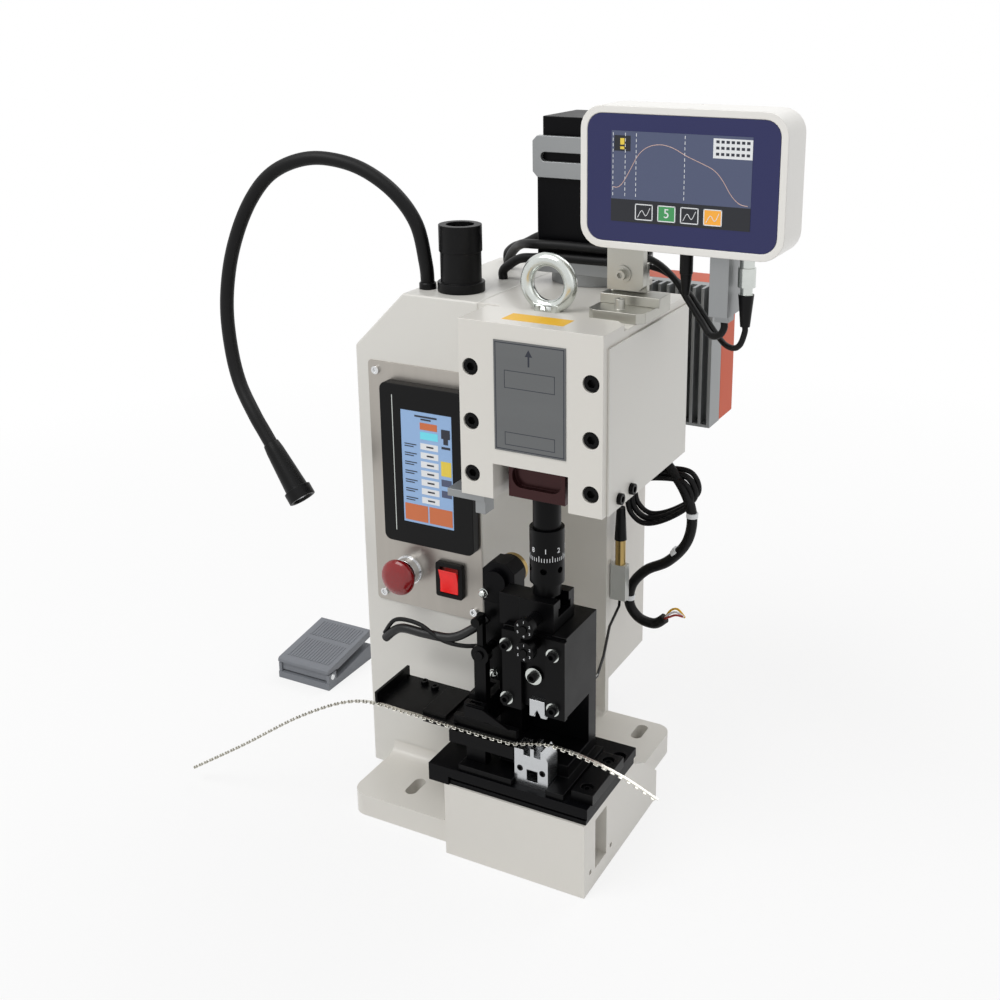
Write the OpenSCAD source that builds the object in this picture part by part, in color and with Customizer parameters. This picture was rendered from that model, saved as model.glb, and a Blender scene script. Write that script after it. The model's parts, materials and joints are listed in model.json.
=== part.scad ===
// Bench terminal crimping press with a side feed applicator, a touch panel
// cabinet, a crimp force monitor, a gooseneck lamp and a foot pedal.
// Millimetres. The origin is the centre of the pedestal's underside.

/* [Base casting] */
// Width of the pedestal under the bolster
ped_w = 143; // [125:1:160]
// How far the pedestal stands in front of the origin
ped_front = 74; // [66:1:84]
// How far the pedestal reaches behind the origin
ped_back = 92; // [86:1:104]
// Height of the pedestal
ped_h = 74.4; // [66:0.2:84]
// Thickness of the foot slab
foot_t = 23; // [17:0.5:30]
// How far the foot slab stands out on the left of the pedestal
foot_reach = 117; // [104:0.5:128]
// Distance from the origin to the back edge of the slab
base_back = 182.4; // [176:0.2:196]
// Width of the fixing slots
slot_w = 12; // [8:0.5:16]
// Length of the fixing slots, end to end
slot_l = 27; // [20:0.5:36]
// Corner radius of the foot slab
foot_r = 15; // [8:0.5:22]

/* [Press frame] */
// Daylight between the bolster and the underside of the head
daylight = 266; // [256:1:284]
// Height of the head
head_h = 150.8; // [142:0.2:164]
// Width of the head
head_w = 134; // [124:1:144]
// Offset of the press centre line to the right of the pedestal's centre
press_x = 11; // [8:0.5:14]
// Thickness of the front cap of the head
cap_t = 50; // [46:0.5:56]
// How far the top of the cap stands over the deck
cap_proud = 5.2; // [2:0.2:9]
// Distance from the origin forward to the head's joint face
head_split = 6; // [4:0.5:8]
// Thickness of the column plate
column_t = 8.5; // [6:0.5:14]
// Depth of the channel behind the column
rear_box_d = 93.6; // [84:0.2:110]
// Diameter of the head's cap screws
cap_screw_d = 13; // [10:0.5:13.5]

/* [Ram] */
// Stroke of the ram
stroke = 30; // [26:1:30]
// Width of the ram
ram_w = 54; // [48:1:58]
// Depth of the ram
ram_d = 37.7; // [34:0.1:38]
// Height of the ram
ram_h = 112; // [100:1:118]
// Diameter of the adjusting thread
thread_d = 25; // [22:0.5:27]
// Diameter of the dial sleeve
dial_d = 31; // [29:0.5:34]
// Height of the dial sleeve
dial_h = 51; // [46:1:56]
// Running clearance of turning and sliding pieces
run_gap = 0.3; // [0.25:0.05:0.4]

/* [Cabinet] */
// Width of the electrical cabinet
cab_w = 135.6; // [126:0.2:146]
// Depth of the cabinet
cab_d = 184.7; // [170:0.1:200]
// Distance from the origin back to the cabinet's front
cab_front = 17.3; // [14:0.1:22]
// Gap under the cabinet
cab_gap = 4.8; // [3:0.2:10]
// Width of the sloping corner of the cabinet
cab_slope = 55.4; // [45:0.2:65]
// Width of the control panel plate
panel_w = 120; // [112:1:124]
// Height of the control panel plate
panel_h = 247; // [238:1:258]
// Thickness of the control panel plate
panel_t = 1.2; // [0.8:0.1:2]
// Width of the touch panel bezel
hmi_w = 99; // [92:1:104]
// Height of the touch panel bezel
hmi_h = 159; // [148:1:166]
// Diameter of the emergency stop button
estop_d = 36; // [32:0.5:40]
// Travel of the emergency stop button
estop_travel = 4; // [3:0.5:6]
// Width of the rocker switch bezel
rocker_w = 29.5; // [27:0.5:33]
// Height of the rocker switch bezel
rocker_h = 35.6; // [33:0.2:39]

/* [Deck fittings] */
// Bore of the reel post socket
socket_bore = 26; // [20:0.5:30]
// Outer diameter of the reel post socket
socket_d = 40; // [38:0.5:44]
// Height of the reel post socket
socket_h = 62; // [54:1:70]
// Inner diameter of the eye bolt's ring
eye_inner = 30; // [28:0.5:34]
// Wire diameter of the eye bolt's ring
eye_wire = 12; // [10:0.5:14]
// Diameter of the lamp's gooseneck
neck_d = 13; // [11:0.5:15]
// Diameter of the lamp head
lamp_d = 24; // [20:0.5:28]
// Length of the lamp head
lamp_l = 62; // [56:1:68]

/* [Motor and drive] */
// Width across the square motor
motor_w = 80; // [72:1:84]
// Height of the motor housing
motor_h = 131; // [120:1:145]
// Width of the drive
drive_w = 102.4; // [94:0.2:110]
// Depth of the drive's heat sink
sink_d = 28; // [22:0.5:32]
// Depth of the drive's cover
cover_d = 39; // [33:0.5:45]
// Height of the heat sink
sink_h = 140; // [130:1:150]

/* [Force monitor] */
// Width of the monitor housing
mon_w = 173.5; // [164:0.5:182]
// Height of the monitor housing
mon_h = 115; // [108:1:122]
// Depth of the monitor housing
mon_d = 46; // [40:0.5:50]
// Corner radius of the monitor housing
mon_r = 19; // [14:0.5:24]
// Thickness of the bracket plates
bracket_t = 8.5; // [6:0.5:10]

/* [Applicator] */
// Width of the applicator frame
frame_w = 62; // [58:0.5:66]
// Depth of the applicator frame
frame_d = 62; // [58:0.5:66]
// Height of the applicator frame over the bolster
frame_h = 146; // [140:1:152]
// Width of the applicator's ram
aram_w = 34; // [31:0.5:36]
// Depth of the applicator's ram
aram_d = 40; // [38:0.5:42]
// Height from the bolster to the top of the raised applicator ram
aram_top = 173; // [170:0.5:176]
// Length of the applicator ram
aram_l = 102; // [97:0.5:106]
// Diameter of the numbered adjusting discs
disc_d = 18.5; // [16:0.5:20]
// Width of the crimping punches
punch_w = 15; // [13:0.5:16]
// Gap between the punches and the anvil with the ram up
punch_gap = 24.5; // [23:0.5:26]
// Width of the anvil block
anvil_w = 33.4; // [32:0.2:36]
// Height of the anvil block over the bolster
anvil_h = 39; // [37:0.5:40]

/* [Foot pedal] */
// Width of the pedal
pedal_w = 72; // [64:1:80]
// Length of the pedal
pedal_l = 85; // [76:1:94]
// Height of the pedal at its back
pedal_h = 38; // [34:0.5:44]
// Diameter of the pedal's cord
cord_d = 6; // [5:0.25:7]
// Inner radius of the stored loops of the pedal's cord
coil_r = 78; // [70:1:90]
// Number of stored loops
coil_loops = 2; // [2:1:3]

/* [Hidden] */

// One overrun serves every cut
over = 1;
// Facets of turned shapes and of rounded outlines
turned = 48;
soft = 24;

// Bolster
bol_low_h = 8.6;
bol_up_h = 9;
bol_front = ped_front;
bol_back = 33;
bol_z = ped_h + bol_low_h + bol_up_h;

// Head and deck
head_z = bol_z + daylight;
deck_z = head_z + head_h;
deck_t = 6.8;
head_x0 = press_x - head_w / 2;
head_x1 = press_x + head_w / 2;
cap_y0 = -head_split - cap_t;
cap_top = deck_z + cap_proud;
column_y0 = base_back - column_t;
cab_x1 = -ped_w / 2 - 7.5;
cab_x0 = cab_x1 - cab_w;
cab_y1 = cab_front + cab_d;
column_w = 56.4;
column_x1 = cab_x1 + column_w;
head_back = 128;
head_step = 20;
rear_y1 = base_back + rear_box_d;
rear_z0 = 62;
rear_z1 = deck_z - 8.8;

// A block between two corners
module span(a, b) {
  translate(a) cube(b - a);
}

// A rounded rectangle about its centre
module pad2d(w, h, r) {
  offset(r = r, $fn = soft) square([w - 2 * r, h - 2 * r], center = true);
}

// Children drawn in X and Y, raised along -Y from a face at y
module facing_front(p, t) {
  translate(p) rotate([90, 0, 0]) linear_extrude(t) children();
}

// A turned piece whose axis runs forward, along -Y, from p
module forward(p) {
  translate(p) rotate([90, 0, 0]) children();
}

// A turned piece whose axis runs to the right, along +X, from p
module rightward(p) {
  translate(p) rotate([0, 90, 0]) children();
}

// A piece drawn along +Z from zero, set from a towards b
module aimed(a, b) {
  v = b - a;
  translate(a)
    rotate([0, acos(v[2] / norm(v)), atan2(v[1], v[0])]) children();
}

// Socket head of a screw, axis +Z, seated at zero
module socket_head(d, h) {
  hex_share = 0.58;
  depth_share = 0.55;
  difference() {
    cylinder(d = d, h = h, $fn = turned);
    translate([0, 0, h * (1 - depth_share)])
      cylinder(d = d * hex_share, h = h * depth_share + over, $fn = 6);
  }
}

// A profile in Y and Z, drawn out along X between x0 and x1
module across(x0, x1) {
  translate([x0, 0, 0]) rotate([90, 0, 90]) linear_extrude(x1 - x0) children();
}

// A profile in X and Z, drawn out along Y between y0 and y1
module along(y0, y1) {
  translate([0, y1, 0]) rotate([90, 0, 0]) linear_extrude(y1 - y0) children();
}

// Swept tubes
function unit(v) = v / norm(v);
function bend(p, q, r, s, t) =
  0.5 * (2 * q + (r - p) * t + (2 * p - 5 * q + 4 * r - s) * t * t
         + (3 * q - p - 3 * r + s) * t * t * t);
function eased(p, n) =
  [for (i = [0 : len(p) - 2]) for (j = [0 : n - 1])
     bend(p[max(i - 1, 0)], p[i], p[i + 1], p[min(i + 2, len(p) - 1)], j / n),
   p[len(p) - 1]];
function headings(p) =
  [for (i = [0 : len(p) - 1])
     unit(p[min(i + 1, len(p) - 1)] - p[max(i - 1, 0)])];
function squared(n, t) = unit(n - (n * t) * t);
function sides_of(t, start) =
  [for (i = 0, n = squared(start, t[0]); i < len(t);
        n = squared(n, t[min(i + 1, len(t) - 1)]), i = i + 1) n];

module tube(p, d, m, start) {
  t = headings(p);
  n = sides_of(t, start);
  last = len(p) - 1;
  points = [for (i = [0 : last]) let (b = cross(t[i], n[i]))
              for (k = [0 : m - 1])
                p[i] + d / 2 * (cos(360 * k / m) * n[i]
                                + sin(360 * k / m) * b)];
  walls = [for (i = [0 : last - 1]) for (k = [0 : m - 1])
             let (a = i * m + k, b = i * m + (k + 1) % m) 
               each [[a, a + m, b + m], [a, b + m, b]]];
  near = [for (k = [1 : m - 2]) [0, k, k + 1]];
  far = [for (k = [1 : m - 2]) [last * m, last * m + k + 1, last * m + k]];
  polyhedron(points, concat(walls, near, far), convexity = 12);
}

// Base casting: pedestal, foot slab and the fillet up to the cabinet
foot_front = ped_front - 13.5;
foot_x0 = -ped_w / 2 - foot_reach;
slab_right = ped_w / 2 - 19.5;
slope_y0 = ped_back - 56;
slope_top = ped_h - 3;
slope_y1 = ped_back - 34;
slope_mid = ped_h - 14.4;
slope_z1 = foot_t + 8;
slot_left_at = [-ped_w / 2 - 63.5, -foot_front + 33.5];
slot_rear_at = [slab_right - 28, base_back - 22.9];
window_y0 = -ped_front + 23;
window_y1 = window_y0 + 24;
window_z0 = 16;
window_z1 = ped_h - 8;
window_in = 46;
plug_d = 5;
cast_r = 12;

module slot_cut(at) {
  half = (slot_l - slot_w) / 2;
  for (s = [-1, 1])
    translate([at[0], at[1] + s * half, -over])
      cylinder(d = slot_w, h = foot_t + 2 * over, $fn = turned);
  span([at[0] - slot_w / 2, at[1] - half, -over],
       [at[0] + slot_w / 2, at[1] + half, foot_t + over]);
}

module foot_outline() {
  offset(r = foot_r, $fn = soft) offset(delta = -foot_r) {
    translate([foot_x0, -foot_front])
      square([-ped_w / 2 + 2 * foot_r - foot_x0, base_back + foot_front]);
    translate([foot_x0, 0])
      square([slab_right - foot_x0, base_back]);
  }
}

module base_casting() color("antiquewhite") {
  difference() {
    union() {
      linear_extrude(foot_t) foot_outline();
      across(-ped_w / 2, ped_w / 2)
        polygon([[-ped_front, 0], [-ped_front, ped_h], [slope_y0, ped_h],
                 [slope_y0, slope_top], [slope_y1, slope_mid],
                 [ped_back, slope_z1], [ped_back, 0]]);
      difference() {
        span([foot_x0, cab_front - run_gap - cast_r, foot_t - over],
             [-ped_w / 2 + over, cab_front - run_gap, foot_t + cast_r]);
        rightward([foot_x0 - over, cab_front - run_gap - cast_r,
                   foot_t + cast_r])
          cylinder(r = cast_r, h = foot_reach + 3 * over, $fn = turned);
      }
    }
    slot_cut(slot_left_at);
    slot_cut(slot_rear_at);
    span([ped_w / 2 - window_in, window_y0, window_z0],
         [ped_w / 2 + over, window_y1, window_z1]);
    for (at = [[window_y0 - 10, window_z0 + 3], [window_y1 + 10, window_z0 + 2]])
      rightward([ped_w / 2 - 2 * plug_d, at[0], at[1]])
        cylinder(d = plug_d, h = 2 * plug_d + over, $fn = turned);
  }
}

// Column plate with its foot fillet, and the cover in the throat
column_fillet = 8;
cover_t = 3;
cover_r = 16;
cover_margin = 9;

module column() color("antiquewhite") {
  span([cab_x1, column_y0, foot_t],
       [column_x1, base_back, deck_z - deck_t]);
  difference() {
    span([cab_x1, column_y0 - column_fillet, foot_t],
         [column_x1, column_y0 + over, foot_t + column_fillet]);
    rightward([cab_x1 - over, column_y0 - column_fillet,
               foot_t + column_fillet])
      cylinder(r = column_fillet, h = column_x1 - cab_x1 + 2 * over,
               $fn = turned);
  }
}

module rear_box() color("antiquewhite")
  span([cab_x1, base_back, rear_z0], [column_x1, rear_y1, rear_z1]);

// Plan of the head: the right part ends behind the monitor
module head_plan(back)
  polygon([[cab_x1, cab_front], [head_x0, cab_front],
           [head_x0, -head_split], [head_x1, -head_split],
           [head_x1, head_back], [head_step, head_back],
           [head_step, back], [cab_x1, back]]);

module head_frame() color("antiquewhite")
  translate([0, 0, head_z]) linear_extrude(head_h - deck_t)
    head_plan(column_y0);

// Front cap with the ram's opening, its channel and the counterbores
mouth_w = 71;
mouth_h = 32;
cap_screw_x = head_w / 2 - 11;
cap_screw_zs = [20, 67, 115];
bore_d = cap_screw_d + 2;
bore_deep = 9;
cap_screw_h = 8;
ram_y1 = -head_split - run_gap;
ram_y0 = ram_y1 - ram_d;
chamfer = 14;

module head_cap() color("antiquewhite")
  difference() {
    span([head_x0, cap_y0, head_z], [head_x1, -head_split, cap_top]);
    span([press_x - mouth_w / 2, cap_y0 - over, head_z - over],
         [press_x + mouth_w / 2, -head_split + over, head_z + mouth_h]);
    span([press_x - ram_w / 2 - run_gap, ram_y0 - run_gap, head_z],
         [press_x + ram_w / 2 + run_gap, -head_split + over,
          head_z + ram_h + 2 * run_gap]);
    for (s = [-1, 1]) for (z = cap_screw_zs)
      forward([press_x + s * cap_screw_x, cap_y0 + bore_deep, head_z + z])
        cylinder(d = bore_d, h = bore_deep + over, $fn = turned);
    translate([head_x1, -head_split, cap_top])
      rotate([0, 0, 45])
        cube([chamfer, chamfer, 2 * cap_proud], center = true);
  }

// Screws of the cap, the side panel and the control panel
panel_x1 = cab_x1 - 1;
panel_x0 = panel_x1 - panel_w;
panel_z0 = bol_z + 102;
panel_z1 = panel_z0 + panel_h;
panel_y = cab_front - panel_t;
panel_screw_d = 8;
panel_screw_h = 2.6;
panel_screw_in = 9;
button_d = 10;
button_h = 4;
side_t = 2;
side_back = 125;
side_front = 48;
button_ys = [-28, -3];

module frame_screws() color("dimgray") {
  for (s = [-1, 1]) for (z = cap_screw_zs)
    forward([press_x + s * cap_screw_x, cap_y0 + bore_deep, head_z + z])
      socket_head(cap_screw_d, cap_screw_h);
  for (y = button_ys)
    rightward([head_x1 + side_t, y, head_z + panel_screw_in])
      socket_head(button_d, button_h);
  for (x = [panel_x0 + panel_screw_in, panel_x1 - panel_screw_in])
    for (z = [panel_z0 + panel_screw_in, panel_z1 - panel_screw_in])
      forward([x, panel_y, z]) socket_head(panel_screw_d, panel_screw_h);
}

module side_panel() color("antiquewhite")
  across(head_x1, head_x1 + side_t)
    polygon([[-side_front, head_z], [side_back, head_z],
             [side_back, deck_z - deck_t], [-side_front, deck_z - deck_t]]);

module deck_plate() color("antiquewhite")
  translate([0, 0, deck_z - deck_t]) linear_extrude(deck_t)
    head_plan(base_back);

module cabinet_shell() color("antiquewhite")
  difference() {
    along(cab_front, cab_y1)
      polygon([[cab_x0, cab_gap], [cab_x1, cab_gap], [cab_x1, deck_z],
               [cab_x0 + cab_slope, deck_z], [cab_x0, deck_z - cab_slope]]);
    span([foot_x0 - run_gap, cab_front - over, -over],
         [cab_x1 + over, base_back + run_gap, foot_t + run_gap]);
  }

// Grey bracket plate with its clip under the left leg of the head
leg_w = 37;
leg_l = 30;
leg_t = 7;
leg_out = 17;
clip_w = 10;
clip_h = 12;

module leg_bracket() {
  color("darkgray")
    span([head_x0 - leg_out, cap_y0 + 4, head_z - leg_t],
         [head_x0 - leg_out + leg_w, cap_y0 + 4 + leg_l, head_z]);
  color("black")
    span([head_x0 - leg_out + leg_w - clip_w, cap_y0 + 6,
          head_z - leg_t - clip_h],
         [head_x0 - leg_out + leg_w, cap_y0 + 6 + leg_l / 2,
          head_z - leg_t]);
}

// Bolster in two layers, with its clamp bars
bol_x0 = -ped_w / 2 - 16.5;
bol_x1 = ped_w / 2 + 2.5;
bol_step = 4.5 - ped_w / 2;
bar_w = 21;
bar_h = 10;
bar_y0 = -ped_front + 7;
bar_l = 67;
bar_x0 = bol_x1 - bar_w + 2;
bar_screw_d = 11;
groove = 2;
keyhole_d = 13;
keyhole_l = 34;

// Room in the bolster for the cabinet's corner
module corner_cut()
  span([bol_x0 - over, cab_front - run_gap, ped_h - over],
       [cab_x1 + run_gap, bol_back + over, bol_z + over]);

module bolster_lower() color("#1b1b1d")
  difference() {
    span([bol_step + run_gap, -bol_front + groove, ped_h],
         [bol_x1 - groove, bol_back, ped_h + bol_low_h]);
    span([bol_x0, -bol_front, ped_h + bol_low_h / 2],
         [bol_x1, -bol_front + 2 * groove, ped_h + bol_low_h / 2 + groove]);
  }

module bolster_upper() color("#1b1b1d")
  difference() {
    union() {
      span([bol_x0, -bol_front, ped_h + bol_low_h], [bol_x1, bol_back, bol_z]);
      span([bol_x0, -bol_front, ped_h],
           [bol_step, bol_back, ped_h + bol_low_h + over]);
    }
    corner_cut();
    translate([bar_x0 + bar_w / 2, bar_y0 + bar_l + keyhole_d, 
               bol_z - bol_up_h / 2])
      cylinder(d = keyhole_d, h = bol_up_h, $fn = turned);
  }

module bolster_clamps() color("#26262a") {
  difference() {
    span([bar_x0, bar_y0, bol_z], [bar_x0 + bar_w, bar_y0 + bar_l,
                                   bol_z + bar_h]);
    for (y = [bar_y0 + bar_screw_d, bar_y0 + bar_l - bar_screw_d])
      translate([bar_x0 + bar_w / 2, y, bol_z + bar_h / 2])
        cylinder(d = bar_screw_d, h = bar_h, $fn = turned);
  }
  span([bol_x0, bar_y0 + 2 * bar_w, bol_z],
       [bol_x0 + bar_w, bar_y0 + bar_l, bol_z + bar_h]);
}

// Press ram with its pocket, the adjusting spindle and the dial
ram_z1 = head_z + ram_h;
ram_cy = (ram_y0 + ram_y1) / 2;
pocket_w = 47;
pocket_h = 21;
pocket_deep = 6;
core_d = 14;
aram_z1 = bol_z + aram_top;
lip_t = 8;
foot_d = 23;
foot_h = 7.4;
neck_h = 12;
dial_z0 = aram_z1 + neck_h;
dial_z1 = dial_z0 + dial_h;
tommy_d = 6;
tommy_z = 14;
tommy_in = 10;
neck_w = 17;

module ram_block() color("#3c1a1c")
  difference() {
    span([press_x - ram_w / 2, ram_y0, head_z],
         [press_x + ram_w / 2, ram_y1, ram_z1]);
    facing_front([press_x, ram_y0 + pocket_deep, head_z + 9 + pocket_h / 2],
                 pocket_deep + over)
      pad2d(pocket_w, pocket_h, pocket_h / 2.2);
  }

module spindle() color("#202022") {
  translate([press_x, ram_cy, dial_z1 + run_gap])
    cylinder(d = thread_d, h = head_z - dial_z1 - run_gap, $fn = turned);
  translate([press_x, ram_cy, aram_z1 - lip_t - run_gap])
    cylinder(d = core_d, h = dial_z1 + 2 * run_gap - aram_z1 + lip_t,
             $fn = turned);
  translate([press_x, ram_cy, aram_z1 - lip_t - run_gap - foot_h])
    cylinder(d = foot_d, h = foot_h, $fn = turned);
}

module dial() color("#2c2d30")
  difference() {
    union() {
      translate([press_x, ram_cy, dial_z0])
        cylinder(d = dial_d, h = dial_h, $fn = turned);
      translate([press_x, ram_cy, aram_z1 + run_gap])
        cylinder(d = thread_d, h = neck_h, $fn = turned);
    }
    translate([press_x, ram_cy, aram_z1 - over])
      cylinder(d = core_d + run_gap, h = dial_h + neck_h + 2 * over,
               $fn = turned);
    for (a = [45 : 60 : 345])
      translate([press_x, ram_cy, dial_z0 + tommy_z]) rotate([0, 0, a])
        rightward([tommy_in, 0, 0])
          cylinder(d = tommy_d, h = dial_d, $fn = turned);
  }

// Control panel, touch panel, emergency stop and rocker switch
hmi_t = 11;
hmi_x0 = panel_x0 + 19;
hmi_z0 = panel_z0 + 72;
hmi_r = 7;
hmi_y0 = panel_y - hmi_t;
glass_w = 55;
glass_h = 112;
glass_deep = 1.5;
glass_x = hmi_x0 + 23;
glass_z = hmi_z0 + 23;
estop_at = [panel_x0 + 39, panel_z0 + 39];
stem_d = 16;
collar_d = 30;
collar_t = 3;
body_d = 27;
body_t = 12;
cap_h = 11;
rocker_at = [panel_x1 - 33.8, panel_z0 + 38.2];
rocker_t = 5;
key_w = 19.5;
key_h = 26.7;
key_rise = 3.4;
key_back = 2.6;
key_half = 7;
key_pin_d = 2;

module control_panel() color("#c9c6c0")
  difference() {
    facing_front([(panel_x0 + panel_x1) / 2, cab_front,
                  (panel_z0 + panel_z1) / 2], panel_t)
      pad2d(panel_w, panel_h, 3 * panel_t);
    forward([estop_at[0], cab_front + over, estop_at[1]])
      cylinder(d = stem_d + 2 * run_gap, h = panel_t + 2 * over,
               $fn = turned);
  }

module hmi_bezel() color("#222429")
  difference() {
    facing_front([hmi_x0 + hmi_w / 2, panel_y, hmi_z0 + hmi_h / 2], hmi_t)
      pad2d(hmi_w, hmi_h, hmi_r);
    span([glass_x, hmi_y0 - over, glass_z],
         [glass_x + glass_w, hmi_y0 + glass_deep, glass_z + glass_h]);
  }

module hmi_glass() color("#7fb4d8")
  span([glass_x, hmi_y0 + run_gap, glass_z],
       [glass_x + glass_w, hmi_y0 + glass_deep, glass_z + glass_h]);

module estop_collar() color("#8b8b8b")
  forward([estop_at[0], panel_y, estop_at[1]])
    difference() {
      union() {
        cylinder(d = collar_d, h = collar_t, $fn = turned);
        cylinder(d = body_d, h = body_t, $fn = turned);
      }
      translate([0, 0, -over])
        cylinder(d = stem_d + 2 * run_gap, h = body_t + 2 * over,
                 $fn = turned);
    }

// The stem stands off the cabinet by the travel
module estop_cap() color("#b01818")
  forward([estop_at[0], panel_y - estop_travel + run_gap, estop_at[1]]) {
    cylinder(d = stem_d, h = body_t + 1.5, $fn = turned);
    translate([0, 0, body_t + 1])
      rotate_extrude($fn = turned)
        polygon([[0, 0], [estop_d / 2 - 3, 0], [estop_d / 2, 3],
                 [estop_d / 2, 6], [estop_d / 2 - 2, 8.4],
                 [estop_d / 2 - 6, 10.2], [estop_d / 4, cap_h],
                 [0, cap_h + 0.4]]);
  }

module rocker_bezel() color("#1c1c1f") {
  rightward([rocker_at[0] - rocker_w / 2 + over, panel_y - key_rise,
             rocker_at[1]])
    cylinder(d = key_pin_d, h = rocker_w - 2 * over, $fn = turned);
  difference() {
    facing_front([rocker_at[0], panel_y, rocker_at[1]], rocker_t)
      pad2d(rocker_w, rocker_h, rocker_t / 2);
    facing_front([rocker_at[0], panel_y + over, rocker_at[1]],
                 rocker_t + 2 * over)
      square([key_w + 2 * run_gap, key_h + 2 * run_gap], center = true);
  }
}

// Two faces in a shallow V on the bezel's pin, tilted to the pressed side
module rocker_key() color("#e01010")
  translate([rocker_at[0], panel_y - key_rise, rocker_at[1]])
    rotate([key_half, 0, 0])
      difference() {
        across(-key_w / 2, key_w / 2)
          polygon([[key_back, -key_rise], [key_rise / 4, -key_h / 4],
                   [-key_rise, -key_h / 2 + over], [-key_rise / 2, 0],
                   [-key_rise, key_h / 2 - over], [key_rise / 4, key_h / 4],
                   [key_back, key_rise]]);
        rightward([-key_w / 2 - over, 0, 0])
          cylinder(d = key_pin_d + run_gap, h = key_w + 2 * over,
                   $fn = turned);
      }

// Reel post socket, eye bolt, gooseneck lamp
socket_at = [cab_x1 - 38, cab_front + 35];
flange_d = socket_d + 4;
flange_h = 9;
socket_floor = 6;
eye_at = [press_x - 20.5, 20];
eye_collar_d = 26;
eye_collar_h = 6;

module reel_socket() color("#1d1d20")
  translate([socket_at[0], socket_at[1], deck_z])
    difference() {
      union() {
        cylinder(d = flange_d, h = flange_h, $fn = turned);
        cylinder(d = socket_d - 2, h = socket_h, $fn = turned);
        translate([0, 0, socket_h * 0.6])
          cylinder(d = socket_d, h = socket_h * 0.4, $fn = turned);
      }
      translate([0, 0, socket_floor])
        cylinder(d = socket_bore, h = socket_h, $fn = turned);
    }

module eye_bolt() color("#c8ccc8")
  translate([eye_at[0], eye_at[1], deck_z]) {
    cylinder(d = eye_collar_d, h = eye_collar_h, $fn = turned);
    difference() {
      translate([0, 0, eye_collar_h / 2 + eye_inner / 2 + eye_wire / 2])
        rotate([90, 0, 0])
          rotate_extrude($fn = turned)
            translate([(eye_inner + eye_wire) / 2, 0])
              circle(d = eye_wire, $fn = soft);
      translate([0, 0, -eye_wire])
        cylinder(d = eye_collar_d, h = eye_wire, $fn = turned);
    }
  }

// Route of the gooseneck over the deck, and the lamp head's ends
neck_at = [-149, 45];
neck_route = [[-149, 45, 6.2], [-148, 41, 25], [-153, 35, 62],
  [-173, 29, 91], [-205, 24, 111], [-240, 18, 118.5], [-268, 12, 115],
  [-294, 7, 102], [-313, 2, 80], [-327, -4, 50], [-337, -9, 14],
  [-340, -14, -26], [-334, -19, -65], [-321, -25, -97]];
neck_base_h = 6.2;
lamp_from = [-279, -36, -147.8];
lamp_to = [-240.5, -43, -193.5];
lamp_u = unit(lamp_to - lamp_from);
rim_h = 11;

module gooseneck() color("#151517")
  translate([0, 0, deck_z]) {
    tube(concat(eased(concat(neck_route,
                             [lamp_from - 2.5 * neck_d * lamp_u,
                              lamp_from - neck_d * lamp_u]), 2),
                [lamp_from - run_gap * lamp_u]), neck_d, 10, [0, 1, 0]);
    translate([neck_at[0], neck_at[1], 0])
      cylinder(d = neck_d + 3, h = neck_base_h + over, $fn = turned);
  }

module lamp_head() color("#18181a")
  translate([0, 0, deck_z]) aimed(lamp_from, lamp_to)
    rotate_extrude($fn = turned)
      polygon([[0, 0], [neck_d / 2 + 1, 0], [neck_d / 2 + 2, 8],
               [lamp_d / 2 - 3, 16], [lamp_d / 2 - 1, lamp_l - rim_h],
               [lamp_d / 2 + 1, lamp_l - rim_h], [lamp_d / 2 + 1, lamp_l],
               [lamp_d / 2 - 2, lamp_l], [lamp_d / 2 - 4, lamp_l - 4],
               [0, lamp_l - 4]]);

// Motor on its adaptor, with the slotted strap
motor_at = [press_x - 40, base_back - 30.4];
adaptor_w = motor_w + 8;
adaptor_t = 13;
pilot_h = 12;
motor_z0 = deck_z + pilot_h + adaptor_t;
motor_r = 2;
cap_band = 22;
strap_t = 5.7;
strap_h = 38.3;
strap_z = motor_z0 + motor_h - 55;
strap_slot = 8.5;
strap_right = 63;
strap_over = 1.5;
strap_cut = 5;

module motor_body() color("#141416") {
  translate([motor_at[0], motor_at[1], motor_z0])
    linear_extrude(motor_h - cap_band) pad2d(motor_w, motor_w, motor_r);
  translate([motor_at[0], motor_at[1], motor_z0 + motor_h - cap_band])
    linear_extrude(cap_band)
      pad2d(motor_w - 8, motor_w - 8, motor_r);
}

module motor_adaptor() color("#8f9193") {
  translate([motor_at[0], motor_at[1], deck_z])
    cylinder(d = motor_w, h = pilot_h, $fn = turned);
  translate([motor_at[0], motor_at[1], deck_z + pilot_h])
    linear_extrude(adaptor_t) pad2d(adaptor_w, adaptor_w, motor_r);
}

module motor_strap() color("#9a9c9e") {
  y1 = motor_at[1] - motor_w / 2;
  x0 = motor_at[0] - motor_w / 2 - strap_over;
  x1 = motor_at[0] + strap_right;
  z1 = strap_z + strap_h;
  slot_z = strap_z + strap_h / 2;
  difference() {
    along(y1 - strap_t, y1)
      polygon([[x0 + strap_cut, strap_z], [x1, strap_z], [x1, z1],
               [x0 + strap_cut, z1], [x0, z1 - strap_cut],
               [x0, strap_z + strap_cut]]);
    for (x = [x0 + 1.5 * strap_slot, x1 - 2 * strap_slot])
      forward([x, y1 + over, slot_z])
        cylinder(d = strap_slot, h = strap_t + 2 * over, $fn = turned);
    span([x0 + 1.5 * strap_slot, y1 - strap_t - over,
          slot_z - strap_slot / 2],
         [x1 - 2 * strap_slot, y1 + over, slot_z + strap_slot / 2]);
  }
}

// Drive on the side of the rear channel: finned heat sink and cover
drive_y0 = base_back + 7.6;
drive_z0 = head_z + 3;
fin_t = 3;
fin_gap = 6;
fin_deep = 15;
sink_y1 = drive_y0 + sink_d;
drive_x1 = column_x1 + drive_w;

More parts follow.
